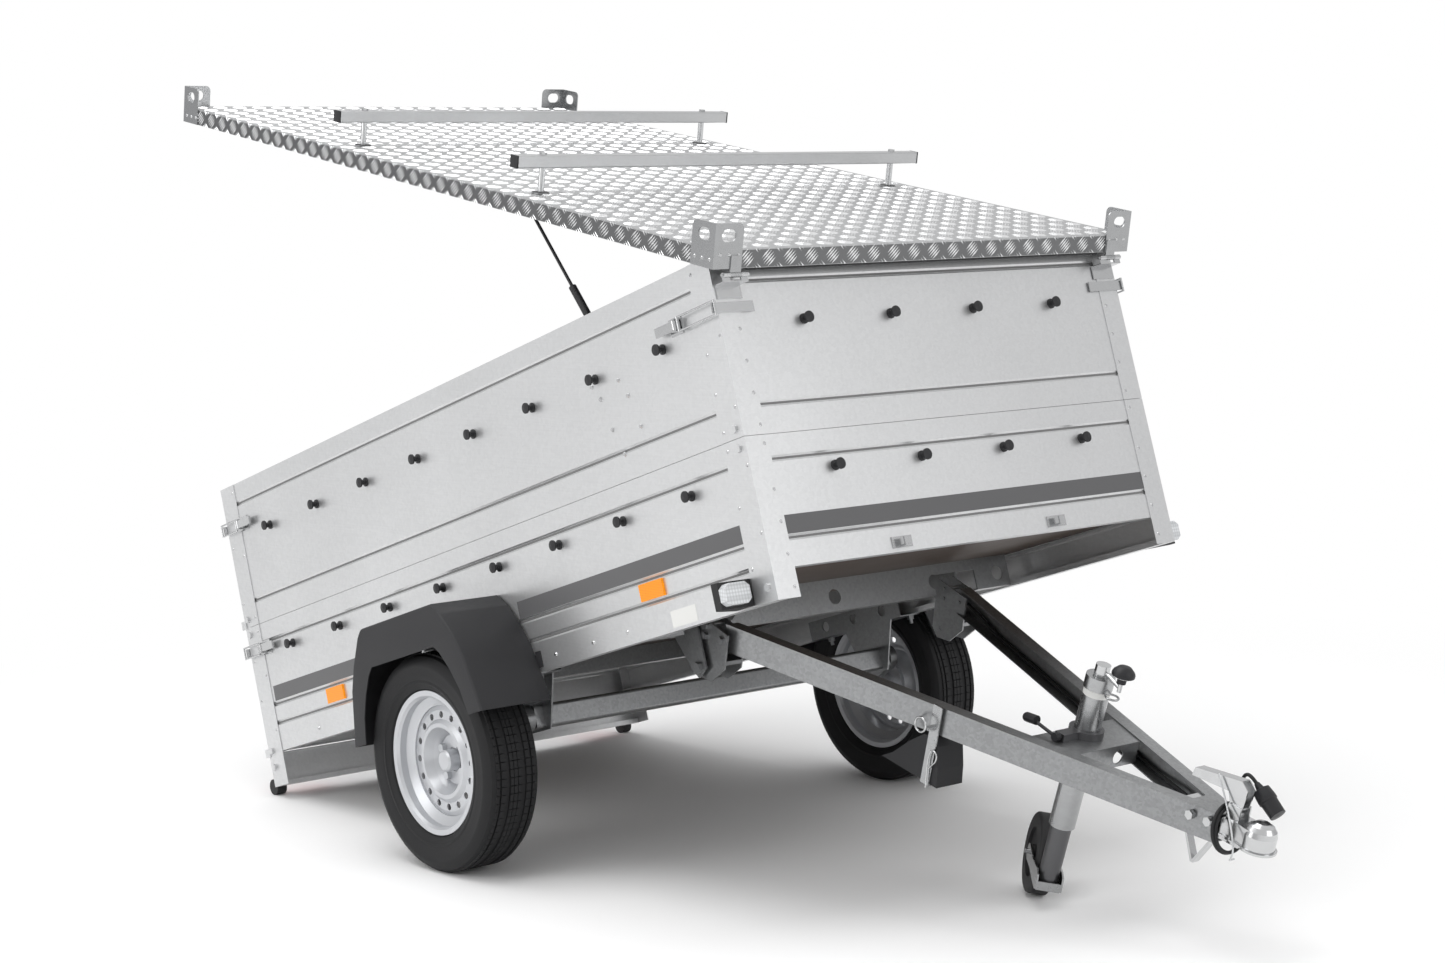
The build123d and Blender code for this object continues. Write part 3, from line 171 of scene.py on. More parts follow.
def arm_face(x):
    """Half the drawbar's width at x along it, to the arms' outer faces."""
    return ARM_REAR_HALF - ARM_SLOPE * x


def add_sockets(tree, inputs, outputs):
    """A shader group's named sockets, with its input and output nodes."""
    kinds = {"Colour": "NodeSocketColor"}
    for names, way in ((inputs, "INPUT"), (outputs, "OUTPUT")):
        for socket in names:
            kind = kinds.get(socket, "NodeSocketFloat")
            tree.interface.new_socket(socket, in_out=way, socket_type=kind)
    return add_node(tree, "NodeGroupInput"), add_node(tree, "NodeGroupOutput")


def plain_material(name, colour, roughness, metallic=0.0, grain=60.0, depth=0.02, spread=0.12):
    """Colour that drifts a little over the surface, with a fine grain in its roughness and relief."""
    made = bpy.data.materials.new(name)
    made.use_nodes = True
    tree = made.node_tree
    skin = tree.nodes["Principled BSDF"]
    skin.inputs["Metallic"].default_value = metallic
    skin.inputs["Specular IOR Level"].default_value = 0.3
    look = add_node(tree, "ShaderNodeGroup", node_tree=moulded_surface())
    look.inputs["Colour"].default_value = (*colour, 1)
    look.inputs["Roughness"].default_value = roughness
    look.inputs["Grain"].default_value = grain
    look.inputs["Spread"].default_value = spread
    bump = add_node(tree, "ShaderNodeBump", {"Strength": 0.35, "Distance": depth * 0.01})
    tree.links.new(look.outputs["Colour"], skin.inputs["Base Color"])
    tree.links.new(look.outputs["Roughness"], skin.inputs["Roughness"])
    tree.links.new(look.outputs["Height"], bump.inputs["Height"])
    tree.links.new(bump.outputs["Normal"], skin.inputs["Normal"])
    return made


def moulded_surface():
    """The shader group of moulded and painted surfaces: slow drift of colour, and fine grain."""
    name = "moulded_surface"
    if name in bpy.data.node_groups:
        return bpy.data.node_groups[name]
    tree = bpy.data.node_groups.new(name, "ShaderNodeTree")
    given, out = add_sockets(tree, ("Colour", "Roughness", "Grain", "Spread"),
                             ("Colour", "Roughness", "Height"))
    place = add_node(tree, "ShaderNodeTexCoord")
    cloud = add_node(tree, "ShaderNodeTexNoise", {"Scale": 7.0, "Detail": 4.0})
    fine = add_node(tree, "ShaderNodeTexNoise", {"Detail": 2.0})
    swing = add_node(tree, "ShaderNodeMath", operation="MULTIPLY")
    low = add_node(tree, "ShaderNodeMath", {1: 0.5}, operation="SUBTRACT")
    gain = add_node(tree, "ShaderNodeMath", {1: 1.0}, operation="ADD")
    tint = add_node(tree, "ShaderNodeVectorMath", operation="SCALE")
    rough = add_node(tree, "ShaderNodeMath", operation="ADD")
    links = tree.links
    links.new(place.outputs["Object"], cloud.inputs["Vector"])
    links.new(place.outputs["Object"], fine.inputs["Vector"])
    links.new(given.outputs["Grain"], fine.inputs["Scale"])
    links.new(cloud.outputs[0], low.inputs[0])
    links.new(low.outputs[0], swing.inputs[0])
    links.new(given.outputs["Spread"], swing.inputs[1])
    links.new(swing.outputs[0], gain.inputs[0])
    links.new(given.outputs["Colour"], tint.inputs[0])
    links.new(gain.outputs[0], tint.inputs["Scale"])
    links.new(swing.outputs[0], rough.inputs[0])
    links.new(given.outputs["Roughness"], rough.inputs[1])
    links.new(tint.outputs[0], out.inputs["Colour"])
    links.new(rough.outputs[0], out.inputs["Roughness"])
    links.new(fine.outputs[0], out.inputs["Height"])
    return tree


cable_rubber = plain_material("cable_rubber", (0.016, 0.016, 0.017), 0.48, grain=900.0)


def cord_curve(name, points, diameter, material, place):
    """A smooth cord through control points that are given in millimetres of its own frame."""
    curve = bpy.data.curves.new(name, "CURVE")
    curve.dimensions = "3D"
    curve.bevel_depth = 1.0
    curve.bevel_resolution = 4
    curve.resolution_u = 8
    curve.use_fill_caps = True
    spline = curve.splines.new("NURBS")
    spline.points.add(len(points) - 1)
    placed = [place @ (Vector(p) / 1000) for p in points]
    for knot, p in zip(spline.points, placed):
        knot.co = (*p, 1)
        knot.radius = diameter / 2
    spline.order_u = 3
    spline.use_endpoint_u = True
    curve.materials.append(material)
    cord = bpy.data.objects.new(name, curve)
    bpy.context.collection.objects.link(cord)
    return cord, placed


def line_length(cord):
    """The length of a cord's own smooth line."""
    depth, cord.data.bevel_depth = cord.data.bevel_depth, 0.0
    mesh = bpy.data.meshes.new_from_object(cord)
    spots = [v.co.copy() for v in mesh.vertices]
    bpy.data.meshes.remove(mesh)
    cord.data.bevel_depth = depth
    return sum((b - a).length for a, b in zip(spots, spots[1:]))


def lead_points():
    """The lead's route inside the left arm, in the drawbar's frame."""
    low = ARM_TOP - ARM_HEIGHT + ARM_SHEET + 500 * LEAD_ACROSS + 1.0
    inside = [(60, 14, low + 22), (115, 12, low + 18), (175, 10, low + 9), (235, 9, low + 3)]
    for k in range(1, CLIPS + 1):
        swing = 2.5 if k % 2 else 0
        inside += [(235 + CLIP_PITCH * k, 9 + swing, low + 2 + swing)]
    inside += [(975, 13, low + 4), (1032, 16, low + 9)]
    route = [(x, 1000 * arm_face(x / 1000) - inset, z) for x, inset, z in inside]
    return route + [(1085, 64, low + 12), (1135, 55, low + 10)]


lead, lead_line = cord_curve("wiring_lead", lead_points(), LEAD_ACROSS, cable_rubber, DRAW_PLACE)
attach(lead, "drawbar")
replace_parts(lead, "wiring_cable")
line_length(lead)

# ------------------------------------------------------------------ lead's slack and plug end
# The same black lead, wound two and a quarter times round the coupling's neck in loose
# turns and led up past the handle to the plug.

COIL_STEPS = 32
COIL_START = radians(-50)
COIL_SWEEP = radians(810)
COIL_TILT = radians(15.0)
COIL_RADIUS, COIL_WAVER = 52.0, 3.0
COIL_BACK, COIL_SPREAD = -5.0, 9.0
NECK_X, NECK_Z = 1266, 88
PLUG_RISE = [(1252, 38, 142), (1244, 41, 162), (1239, 42, 181),
             (1244, 41, 198), (1259, 40, 203), (1278, 40, 192)]


def coil_points():
    """The loose turns round the neck, then the rise to the plug, in the drawbar's frame."""
    points = []
    for k in range(COIL_STEPS + 1):
        share = k / COIL_STEPS
        angle = COIL_START + COIL_SWEEP * share
        radius = COIL_RADIUS + COIL_WAVER * sin(7.0 * share)
        side, rise = radius * cos(angle), radius * sin(angle)
        forward = COIL_BACK + COIL_SPREAD * share
        points += [(NECK_X + forward - rise * sin(COIL_TILT), side, NECK_Z + rise * cos(COIL_TILT))]
    return points + PLUG_RISE


slack, slack_line = cord_curve("lead_slack", coil_points(), LEAD_ACROSS, cable_rubber, DRAW_PLACE)
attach(slack, "drawbar")
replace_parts(slack, "cable_coil")
line_length(slack)

# ------------------------------------------------------------------ breakaway rope
# A thin steel rope from the coupling's handle down over the side of its body, to be
# clipped to the towing car.

ROPE_ACROSS = 0.004
rope_steel = plain_material("rope_steel", (0.62, 0.63, 0.64), 0.32, metallic=0.9, grain=1600.0)
rope_points = [(1222, -19, 200), (1244, -22, 172), (1268, -27, 142), (1290, -36, 118), (1312, -46, 94),
               (1324, -50, 68), (1314, -42, 46), (1300, -24, 34), (1296, -4, 32)]
rope, rope_line = cord_curve("breakaway_rope", rope_points, ROPE_ACROSS, rope_steel, DRAW_PLACE)
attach(rope, "drawbar")
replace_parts(rope, "breakaway_cable")
line_length(rope)

# ------------------------------------------------------------------ galvanised boards and frame
# Folded steel sheet from a zinc bath: pale grey with a soft crystal pattern, slightly
# brushed along its length. Boards, posts, valance, cross members and axle share it.


def zinc_surface():
    """The shader group of zinc: crystal flakes, slow clouds and streaks along the sheet."""
    tree = bpy.data.node_groups.new("zinc_surface", "ShaderNodeTree")
    given, out = add_sockets(tree, ("Colour", "Roughness", "Flake Scale", "Flake", "Streak"),
                             ("Colour", "Roughness", "Height"))
    place = add_node(tree, "ShaderNodeTexCoord")
    flakes = add_node(tree, "ShaderNodeTexVoronoi")
    grey = add_node(tree, "ShaderNodeSeparateColor")
    cloud = add_node(tree, "ShaderNodeTexNoise", {"Scale": 2.6, "Detail": 3.0})
    stretch = add_node(tree, "ShaderNodeMapping", vector_type="POINT")
    stretch.inputs["Scale"].default_value = (3.0, 40.0, 90.0)
    stretch.inputs["Rotation"].default_value = (0, BOX_TIP, 0)
    streaks = add_node(tree, "ShaderNodeTexNoise", {"Scale": 3.0, "Detail": 3.0})
    centre = [add_node(tree, "ShaderNodeMath", {1: 0.5}, operation="SUBTRACT") for _ in range(3)]
    flake_part = add_node(tree, "ShaderNodeMath", operation="MULTIPLY")
    cloud_part = add_node(tree, "ShaderNodeMath", {1: 0.16}, operation="MULTIPLY")
    streak_part = add_node(tree, "ShaderNodeMath", operation="MULTIPLY")
    first = add_node(tree, "ShaderNodeMath", operation="ADD")
    second = add_node(tree, "ShaderNodeMath", operation="ADD")
    gain = add_node(tree, "ShaderNodeMath", {1: 1.0}, operation="ADD")
    tint = add_node(tree, "ShaderNodeVectorMath", operation="SCALE")
    rough_part = add_node(tree, "ShaderNodeMath", {1: -0.5}, operation="MULTIPLY")
    rough = add_node(tree, "ShaderNodeMath", operation="ADD")
    links = tree.links
    links.new(place.outputs["Object"], flakes.inputs["Vector"])
    links.new(given.outputs["Flake Scale"], flakes.inputs["Scale"])
    links.new(flakes.outputs["Color"], grey.inputs[0])
    links.new(place.outputs["Object"], cloud.inputs["Vector"])
    links.new(place.outputs["Object"], stretch.inputs["Vector"])
    links.new(stretch.outputs[0], streaks.inputs["Vector"])
    links.new(grey.outputs[0], centre[0].inputs[0])
    links.new(cloud.outputs[0], centre[1].inputs[0])
    links.new(streaks.outputs[0], centre[2].inputs[0])
    links.new(centre[0].outputs[0], flake_part.inputs[0])
    links.new(given.outputs["Flake"], flake_part.inputs[1])
    links.new(centre[1].outputs[0], cloud_part.inputs[0])
    links.new(centre[2].outputs[0], streak_part.inputs[0])
    links.new(given.outputs["Streak"], streak_part.inputs[1])
    links.new(flake_part.outputs[0], first.inputs[0])
    links.new(cloud_part.outputs[0], first.inputs[1])
    links.new(first.outputs[0], second.inputs[0])
    links.new(streak_part.outputs[0], second.inputs[1])
    links.new(second.outputs[0], gain.inputs[0])
    links.new(given.outputs["Colour"], tint.inputs[0])
    links.new(gain.outputs[0], tint.inputs["Scale"])
    links.new(second.outputs[0], rough_part.inputs[0])
    links.new(rough_part.outputs[0], rough.inputs[0])
    links.new(given.outputs["Roughness"], rough.inputs[1])
    links.new(tint.outputs[0], out.inputs["Colour"])
    links.new(rough.outputs[0], out.inputs["Roughness"])
    links.new(grey.outputs[0], out.inputs["Height"])
    return tree


ZINC_GROUP = zinc_surface()


def zinc_material(name, colour, roughness, metallic, flake_scale, flake, streak):
    """Zinc or aluminium sheet: its tone, and how large and strong its flakes and streaks are."""
    made = bpy.data.materials.new(name)
    made.use_nodes = True
    tree = made.node_tree
    skin = tree.nodes["Principled BSDF"]
    skin.inputs["Metallic"].default_value = metallic
    look = add_node(tree, "ShaderNodeGroup", node_tree=ZINC_GROUP)
    look.inputs["Colour"].default_value = (*colour, 1)
    look.inputs["Roughness"].default_value = roughness
    look.inputs["Flake Scale"].default_value = flake_scale
    look.inputs["Flake"].default_value = flake
    look.inputs["Streak"].default_value = streak
    bump = add_node(tree, "ShaderNodeBump", {"Strength": 0.08, "Distance": 0.0004})
    tree.links.new(look.outputs["Colour"], skin.inputs["Base Color"])
    tree.links.new(look.outputs["Roughness"], skin.inputs["Roughness"])
    tree.links.new(look.outputs["Height"], bump.inputs["Height"])
    tree.links.new(bump.outputs["Normal"], skin.inputs["Normal"])
    return made


def finish_node(name, material):
    """Gives a CAD node its real finish."""
    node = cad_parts[name]
    node.data.materials.clear()
    node.data.materials.append(material)


board_zinc = zinc_material("board_zinc", (0.66, 0.665, 0.67), 0.36, 0.85, 120.0, 0.05, 0.10)
frame_zinc = zinc_material("frame_zinc", (0.30, 0.305, 0.31), 0.34, 0.9, 160.0, 0.16, 0.05)
for board in ("side_board_left", "side_board_right", "raised_side_left", "raised_side_right", "front_board",
              "raised_front_board", "tailgate_lower", "tailgate_raised", "rear_valance", "corner_posts"):
    finish_node(board, board_zinc)
for beam in ("cross_members", "hinge_hangers", "axle_mounts", "axle_beam", "drawbar_arm_left",
             "drawbar_arm_right", "hinge_plates", "gusset_plate"):
    finish_node(beam, frame_zinc)

# ------------------------------------------------------------------ box floor
# Dark film-faced plywood that lies on the cross members, with a fine grain in the film's
# face.

floor_film = plain_material("floor_film", (0.060, 0.042, 0.032), 0.5, grain=420.0, depth=0.1)
finish_node("floor_panel", floor_film)

# ------------------------------------------------------------------ bright plated hardware
# Latches, hinges, brackets, bolts and the coupling are pressed or turned steel with a
# bright zinc plating, smoother than the hot-dipped sheet.

bright_zinc = zinc_material("bright_zinc", (0.56, 0.565, 0.57), 0.2, 1.0, 60.0, 0.03, 0.03)
for part in ("box_fittings", "lid_mounts", "coupling_body", "coupling_handle",
             "coupling_bolts", "jockey_crank", "drawbar_fittings",
             "bar_mounts", "latch_rear_lower_left", "latch_rear_lower_right", "latch_rear_upper_left",
             "latch_rear_upper_right", "latch_front_left", "latch_front_right"):
    finish_node(part, bright_zinc)
tube_zinc = zinc_material("tube_zinc", (0.40, 0.405, 0.41), 0.26, 1.0, 90.0, 0.05, 0.06)
for part in ("jockey_tube", "jockey_fork", "chock_holder", "lid_brackets"):
    finish_node(part, tube_zinc)
dark_steel = plain_material("dark_steel", (0.14, 0.14, 0.145), 0.38, metallic=0.85, grain=500.0)
for part in ("jockey_clamp", "jockey_nut"):
    finish_node(part, dark_steel)

# ------------------------------------------------------------------ black plastic and rubber
# Tarpaulin knobs, lamp arms, buffers, plug and chock are moulded black plastic or
# rubber with a fine spark-eroded grain.

black_plastic = plain_material("black_plastic", (0.020, 0.020, 0.022), 0.42, grain=700.0, depth=0.05)
soft_black = plain_material("soft_black", (0.026, 0.026, 0.027), 0.62, grain=500.0, depth=0.08)
for part in ("tarp_knobs", "clamp_lever", "connector_plug", "wheel_chock", "spring_cylinders", "spring_rods"):
    finish_node(part, black_plastic)
finish_node("rubber_mounts", soft_black)
finish_node("jockey_wheel", soft_black)

# ------------------------------------------------------------------ lamps and reflectors
# Clear front position lenses, red tail lenses and amber side reflectors, all moulded
# acrylic with a grid of small prisms behind a glossy face.


def prism_material(name, colour, pitch, glow):
    """Glossy acrylic with prisms of a pitch in metres, and a painted glow for the light that they send back.
    """
    made = bpy.data.materials.new(name)
    made.use_nodes = True
    tree = made.node_tree
    skin = tree.nodes["Principled BSDF"]
    skin.inputs["Roughness"].default_value = 0.14
    skin.inputs["Coat Weight"].default_value = 0.25
    skin.inputs["Specular IOR Level"].default_value = 0.3
    skin.inputs["Emission Strength"].default_value = glow
    place = add_node(tree, "ShaderNodeTexCoord")
    cells = add_node(tree, "ShaderNodeTexVoronoi", {"Scale": 1 / pitch, "Randomness": 0.0})
    shade = add_node(tree, "ShaderNodeValToRGB")
    ends = shade.color_ramp.elements
    ends[0].color = (*colour, 1)
    ends[1].color = (*(0.55 * c for c in colour), 1)
    ends[1].position = 0.8
    bump = add_node(tree, "ShaderNodeBump", {"Strength": 0.3, "Distance": 0.0006})
    tree.links.new(place.outputs["Object"], cells.inputs["Vector"])
    tree.links.new(cells.outputs["Distance"], shade.inputs[0])
    tree.links.new(cells.outputs["Distance"], bump.inputs["Height"])
    tree.links.new(shade.outputs[0], skin.inputs["Base Color"])
    tree.links.new(shade.outputs[0], skin.inputs["Emission Color"])
    tree.links.new(bump.outputs["Normal"], skin.inputs["Normal"])
    return made


# The amber reflectors carry a painted glow, though they are no lamps.
amber = prism_material("amber_prisms", (0.95, 0.30, 0.0), 0.006, 0.55)
clear_lens = prism_material("clear_prisms", (0.82, 0.84, 0.86), 0.008, 0.0)
finish_node("side_reflectors", amber)
finish_node("lamp_lenses", clear_lens)

# ------------------------------------------------------------------ mudguards
# Thick black plastic arches, each moulded in one piece and bolted to the box's side. The
# moulded copy has its long corners rounded and stands for the CAD arch.

guard_plastic = plain_material("guard_plastic", (0.026, 0.026, 0.028), 0.55, grain=600.0, depth=0.12)
GUARD_ROUND = 0.007


def rounded_guard(side):
    """The arch with its corners rounded as the mould leaves them."""
    bm = bmesh.new()
    bm.from_mesh(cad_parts["mudguard_" + side].data)
    bmesh.ops.remove_doubles(bm, verts=bm.verts, dist=0.00001)
    bmesh.ops.dissolve_limit(bm, angle_limit=radians(1), verts=bm.verts, edges=bm.edges)
    corners = [e for e in bm.edges if len(e.link_faces) == 2 and e.calc_face_angle(0) > radians(12)
               and all(f.calc_area() > 0.012 for f in e.link_faces)]
    bmesh.ops.bevel(bm, geom=corners, offset=GUARD_ROUND, segments=4, profile=0.5, affect="EDGES",
                    material=-1, clamp_overlap=True)
    bmesh.ops.recalc_face_normals(bm, faces=bm.faces)
    mesh = bpy.data.meshes.new("moulded_guard_" + side)
    bm.to_mesh(mesh)
    bm.free()
    mesh.materials.append(guard_plastic)
    mesh.shade_smooth()
    mesh.set_sharp_from_angle(angle=radians(35))
    guard = bpy.data.objects.new("moulded_guard_" + side, mesh)
    bpy.context.collection.objects.link(guard)
    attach(guard, "box")
    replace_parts(guard, "mudguard_" + side)


rounded_guard("left")
rounded_guard("right")

# ------------------------------------------------------------------ printed bands and labels
# Dark grey film without any print, stuck on the lower boards above their groove, and a
# pale type label low on the right board and round the jockey tube's head.

BAND = (139, 181)
SIDE_OUT, FILM = 633.0, 0.5
band_film = plain_material("band_film", (0.115, 0.115, 0.118), 0.36, grain=80.0, spread=0.04)
label_film = plain_material("label_film", (0.72, 0.72, 0.70), 0.45, grain=120.0, spread=0.05)


def mesh_piece(name, bm, material, body, place=BOX_PLACE, smooth=None):
    """Makes a finished piece of a bmesh that was built in millimetres of its own frame."""
    bmesh.ops.transform(bm, matrix=place @ Matrix.Scale(0.001, 4), verts=bm.verts)
    bmesh.ops.recalc_face_normals(bm, faces=bm.faces)
    mesh = bpy.data.meshes.new(name)
    bm.to_mesh(mesh)
    bm.free()
    mesh.materials.append(material)
    if smooth is not None:
        mesh.shade_smooth()
        mesh.set_sharp_from_angle(angle=radians(smooth))
    piece = bpy.data.objects.new(name, mesh)
    bpy.context.collection.objects.link(piece)
    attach(piece, body)
    return piece


def slab(bm, x, y, z, edge=0.0):
    """A block between pairs of x, y and z, with its edges rounded."""
    made = bmesh.ops.create_cube(bm, size=1.0)["verts"]
    size = Matrix.Diagonal((x[1] - x[0], y[1] - y[0], z[1] - z[0], 1))
    middle = Matrix.Translation(((x[0] + x[1]) / 2, (y[0] + y[1]) / 2, (z[0] + z[1]) / 2))
    bmesh.ops.transform(bm, matrix=middle @ size, verts=made)
    if edge:
        edges = list({e for v in made for e in v.link_edges})
        bmesh.ops.bevel(bm, geom=edges, offset=edge, segments=2, profile=0.5, affect="EDGES", material=-1)


bands = bmesh.new()
for side in (-1, 1):
    face = sorted((side * SIDE_OUT, side * (SIDE_OUT + FILM)))
    for x in ((-980, -79), (-2250, -1780)):
        slab(bands, x, face, BAND, 0.15)
slab(bands, (-2.0, -2.0 + FILM), (-574, 574), BAND, 0.15)
mesh_piece("printed_bands", bands, band_film, "box")

type_label = bmesh.new()
slab(type_label, (-385, -290), (-SIDE_OUT - FILM, -SIDE_OUT), (8, 46), 0.15)
mesh_piece("type_label", type_label, label_film, "box")

# ------------------------------------------------------------------ rivets and bolts of the box
# Blind rivets hold the corner posts to the boards, and hexagon bolts hold the gas
# springs' brackets through the raised boards.

def dome_head(bm, place, radius, height, sides=10):
    """A low rivet or bolt head that stands up along its own Z."""
    made = bmesh.ops.create_cone(bm, cap_ends=True, segments=sides, radius1=radius, radius2=radius * 0.66,
                                 depth=height)["verts"]
    bmesh.ops.transform(bm, matrix=place @ Matrix.Translation((0, 0, height / 2)), verts=made)


TURN_OUT = {-1: Matrix.Rotation(pi / 2, 4, "X"), 1: Matrix.Rotation(-pi / 2, 4, "X")}
TURN_FRONT = Matrix.Rotation(pi / 2, 4, "Y")
rivets = bmesh.new()
for side in (-1, 1):
    for x, heights in ((-66, (80, 216, 342, 384, 470, 560, 742)), (-10, (150, 300, 430, 590)),
                       (-2274, (60, 216, 342, 384, 560, 742)), (-2328, (150, 262, 430, 590))):
        for z in heights:
            dome_head(rivets, Matrix.Translation((x, side * 635, z)) @ TURN_OUT[side], 4.6, 2.0)
    for z in (24, 96, 168, 240, 342, 384, 456, 528, 600, 742):
        dome_head(rivets, Matrix.Translation((0, side * 583, z)) @ TURN_FRONT, 4.6, 2.0)
    for x in (-560, -700, -860, -1620, -1760, -2040):
        dome_head(rivets, Matrix.Translation((x, side * 633, 30)) @ TURN_OUT[side], 5.5, 3.0)
    for x, z in ((-505, 600), (-481, 565), (-459, 488), (-433, 423), (-400, 590), (-376, 548), (-352, 470)):
        dome_head(rivets, Matrix.Translation((x, side * 633, z)) @ TURN_OUT[side], 6.5, 4.0, 6)
mesh_piece("box_rivets", rivets, bright_zinc, "box")

# ------------------------------------------------------------------ painted shade in the folded grooves
# Thin dark strips in the pressed grooves of the boards are painted shade: they dull the zinc there
# to a darker line that stands in for the shadow under each fold's lip.

GROOVES_FRONT = (131, 307, 430, 709)
GROOVES_SIDE = (78, *GROOVES_FRONT)
SHADE_STRIP_HALF = 2.6
groove_painted_shade = plain_material("groove_painted_shade", (0.19, 0.19, 0.19), 0.6, metallic=0.3, grain=200.0, spread=0.5)
shade_strips = bmesh.new()
for side in (-1, 1):
    for z in GROOVES_SIDE:
        face = sorted((side * 629.6, side * 630.3))
        slab(shade_strips, (-2300, -79), face, (z - SHADE_STRIP_HALF, z + SHADE_STRIP_HALF), 0.2)
for z in GROOVES_FRONT:
    slab(shade_strips, (-5.4, -4.7), (-574, 574), (z - SHADE_STRIP_HALF, z + SHADE_STRIP_HALF), 0.2)
mesh_piece("groove_shade_strips", shade_strips, groove_painted_shade, "box")

# ------------------------------------------------------------------ tail lenses
# Red acrylic over the tail lamps in the rear valance, with a faint painted glow.

red_lens = prism_material("red_prisms", (0.55, 0.01, 0.008), 0.008, 0.05)
tails = bmesh.new()
for side in (-1, 1):
    slab(tails, (-2365, -2339), sorted((side * 439, side * 591)), (-89, -11), 4.0)
mesh_piece("tail_lenses", tails, red_lens, "box", smooth=40)

# ------------------------------------------------------------------ wheels
# Steel rims sprayed silver, on 13-inch road tyres with four grooves round the tread,
# blocks cut across it and two moulded rings on each sidewall.

rim_silver = plain_material("rim_silver", (0.56, 0.57, 0.59), 0.34, metallic=0.55, grain=300.0, spread=0.05)
tyre_rubber = plain_material("tyre_rubber", (0.011, 0.011, 0.012), 0.6, grain=350.0, depth=0.1)
WHEEL_X, WHEEL_Y, WHEEL_Z = -1.235, 0.735, -0.156
TREAD_STEPS = 84
TREAD_FLOOR, TREAD_DEPTH = 267.5, 4.0
HALF_TYRE = [(166, 47), (169, 55.6), (179.5, 56.6), (184, 65.6), (192, 70), (198, 72.6), (199.5, 74.4),
             (204, 74.6), (206, 73.8), (222, 77.2), (238, 76.6), (240, 77.2), (245, 76.6), (250, 74.6),
             (258, 71)]
TREAD_LINE = [(TREAD_FLOOR - 3, 66)] + [(TREAD_FLOOR, y) for y in (56, 47, 43, 29, 22, 17, 6)]
BLOCK_ROWS = ((56.1, 66.1), (46.9, 56.1), (28.9, 43.1), (5.9, 17.1))


def road_tyre(name, side):
    """A tyre spun from half its outline, with its tread blocks raised between the grooves."""
    bm = bmesh.new()
    half = HALF_TYRE + TREAD_LINE
    line = half + [(r, -y) for r, y in reversed(half)]
    knots = [bm.verts.new((r, y, 0)) for r, y in line]
    rows = [bm.edges.new(pair) for pair in zip(knots, knots[1:])]
    bmesh.ops.spin(bm, geom=knots + rows, cent=(0, 0, 0), axis=(0, 1, 0), angle=2 * pi, steps=TREAD_STEPS,
                   use_merge=True)
    bmesh.ops.remove_doubles(bm, verts=bm.verts, dist=0.01)
    bmesh.ops.recalc_face_normals(bm, faces=bm.faces)
    blocks = []
    for face in bm.faces:
        middle = face.calc_center_median()
        low, high = (min(abs(v.co.y) for v in face.verts), max(abs(v.co.y) for v in face.verts))
        crosses = min(v.co.y for v in face.verts) * max(v.co.y for v in face.verts) < 0
        reach = (middle.x ** 2 + middle.z ** 2) ** 0.5
        if reach > TREAD_FLOOR - 3 and (crosses or any(low > a and high < b for a, b in BLOCK_ROWS)):
            blocks.append(face)
    bmesh.ops.inset_individual(bm, faces=blocks, thickness=0.9, depth=TREAD_DEPTH, use_even_offset=True)
    hub = BOX_PLACE @ Matrix.Translation((WHEEL_X, side * WHEEL_Y, WHEEL_Z))
    return mesh_piece(name, bm, tyre_rubber, name.replace("road_tyre", "wheel"), hub, smooth=28)


for side, way in (("left", 1), ("right", -1)):
    finish_node("rim_" + side, rim_silver)
    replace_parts(road_tyre("road_tyre_" + side, way), "tyre_" + side)

# ------------------------------------------------------------------ lid and its tread plate
# Five-bar aluminium plate, folded down on all four sides. The bars are rolled up 1.3 mm
# out of the sheet, in groups of five that lie crosswise to their neighbours.

lid_aluminium = zinc_material("lid_aluminium", (0.46, 0.465, 0.47), 0.36, 0.95, 40.0, 0.02, 0.05)
# The raised bars get a much lighter copy of the lid's aluminium: a painted highlight where they catch the
# light.
tread_aluminium_painted_highlight = zinc_material("tread_aluminium_painted_highlight", (0.84, 0.845, 0.85), 0.24, 1.0, 40.0, 0.02, 0.03)
finish_node("lid_tray", lid_aluminium)
LID_HINGE, LID_OPEN = (0.0348, 0, 0.7126), radians(26.4)
LID_PLACE = BOX_PLACE @ Matrix.Translation(LID_HINGE) @ Matrix.Rotation(LID_OPEN, 4, "Y")
LID_LENGTH, LID_WIDTH = 2399.0, 1310.0
LID_NOSE, LID_LOW, LID_TOP = -4.8, 12.9, 55.9
LID_TAIL = LID_NOSE - LID_LENGTH
LIP = LID_TOP - LID_LOW
TILES_LONG, TILES_WIDE = 39, 21
TILE_X, TILE_Y = LID_LENGTH / TILES_LONG, LID_WIDTH / TILES_WIDE
BAR_HALF, BAR_WIDE, BAR_PITCH, BAR_RISE = 21.5, 2.3, 6.7, 1.3
BAR_SHORTER, LIP_EDGE = 2.2, 0.4
X_AXIS, Y_AXIS, Z_AXIS = Vector((1, 0, 0)), Vector((0, 1, 0)), Vector((0, 0, 1))


def five_bars(bm, spot, turn):
    """A group of five low lens-shaped bars round a spot of the sheet."""
    for k in range(-2, 3):
        half = BAR_HALF - BAR_SHORTER * abs(k)
        bar = bmesh.ops.create_cone(bm, cap_ends=True, segments=4, radius1=1.0, radius2=0.6,
                                    depth=BAR_RISE)
        place = Matrix.Translation((*spot, BAR_RISE / 2)) @ Matrix.Rotation(turn, 4, "Z")
        shape = Matrix.Translation((0, k * BAR_PITCH, 0)) @ Matrix.Diagonal((half, BAR_WIDE, 1, 1))
        bmesh.ops.transform(bm, matrix=place @ shape, verts=bar["verts"])


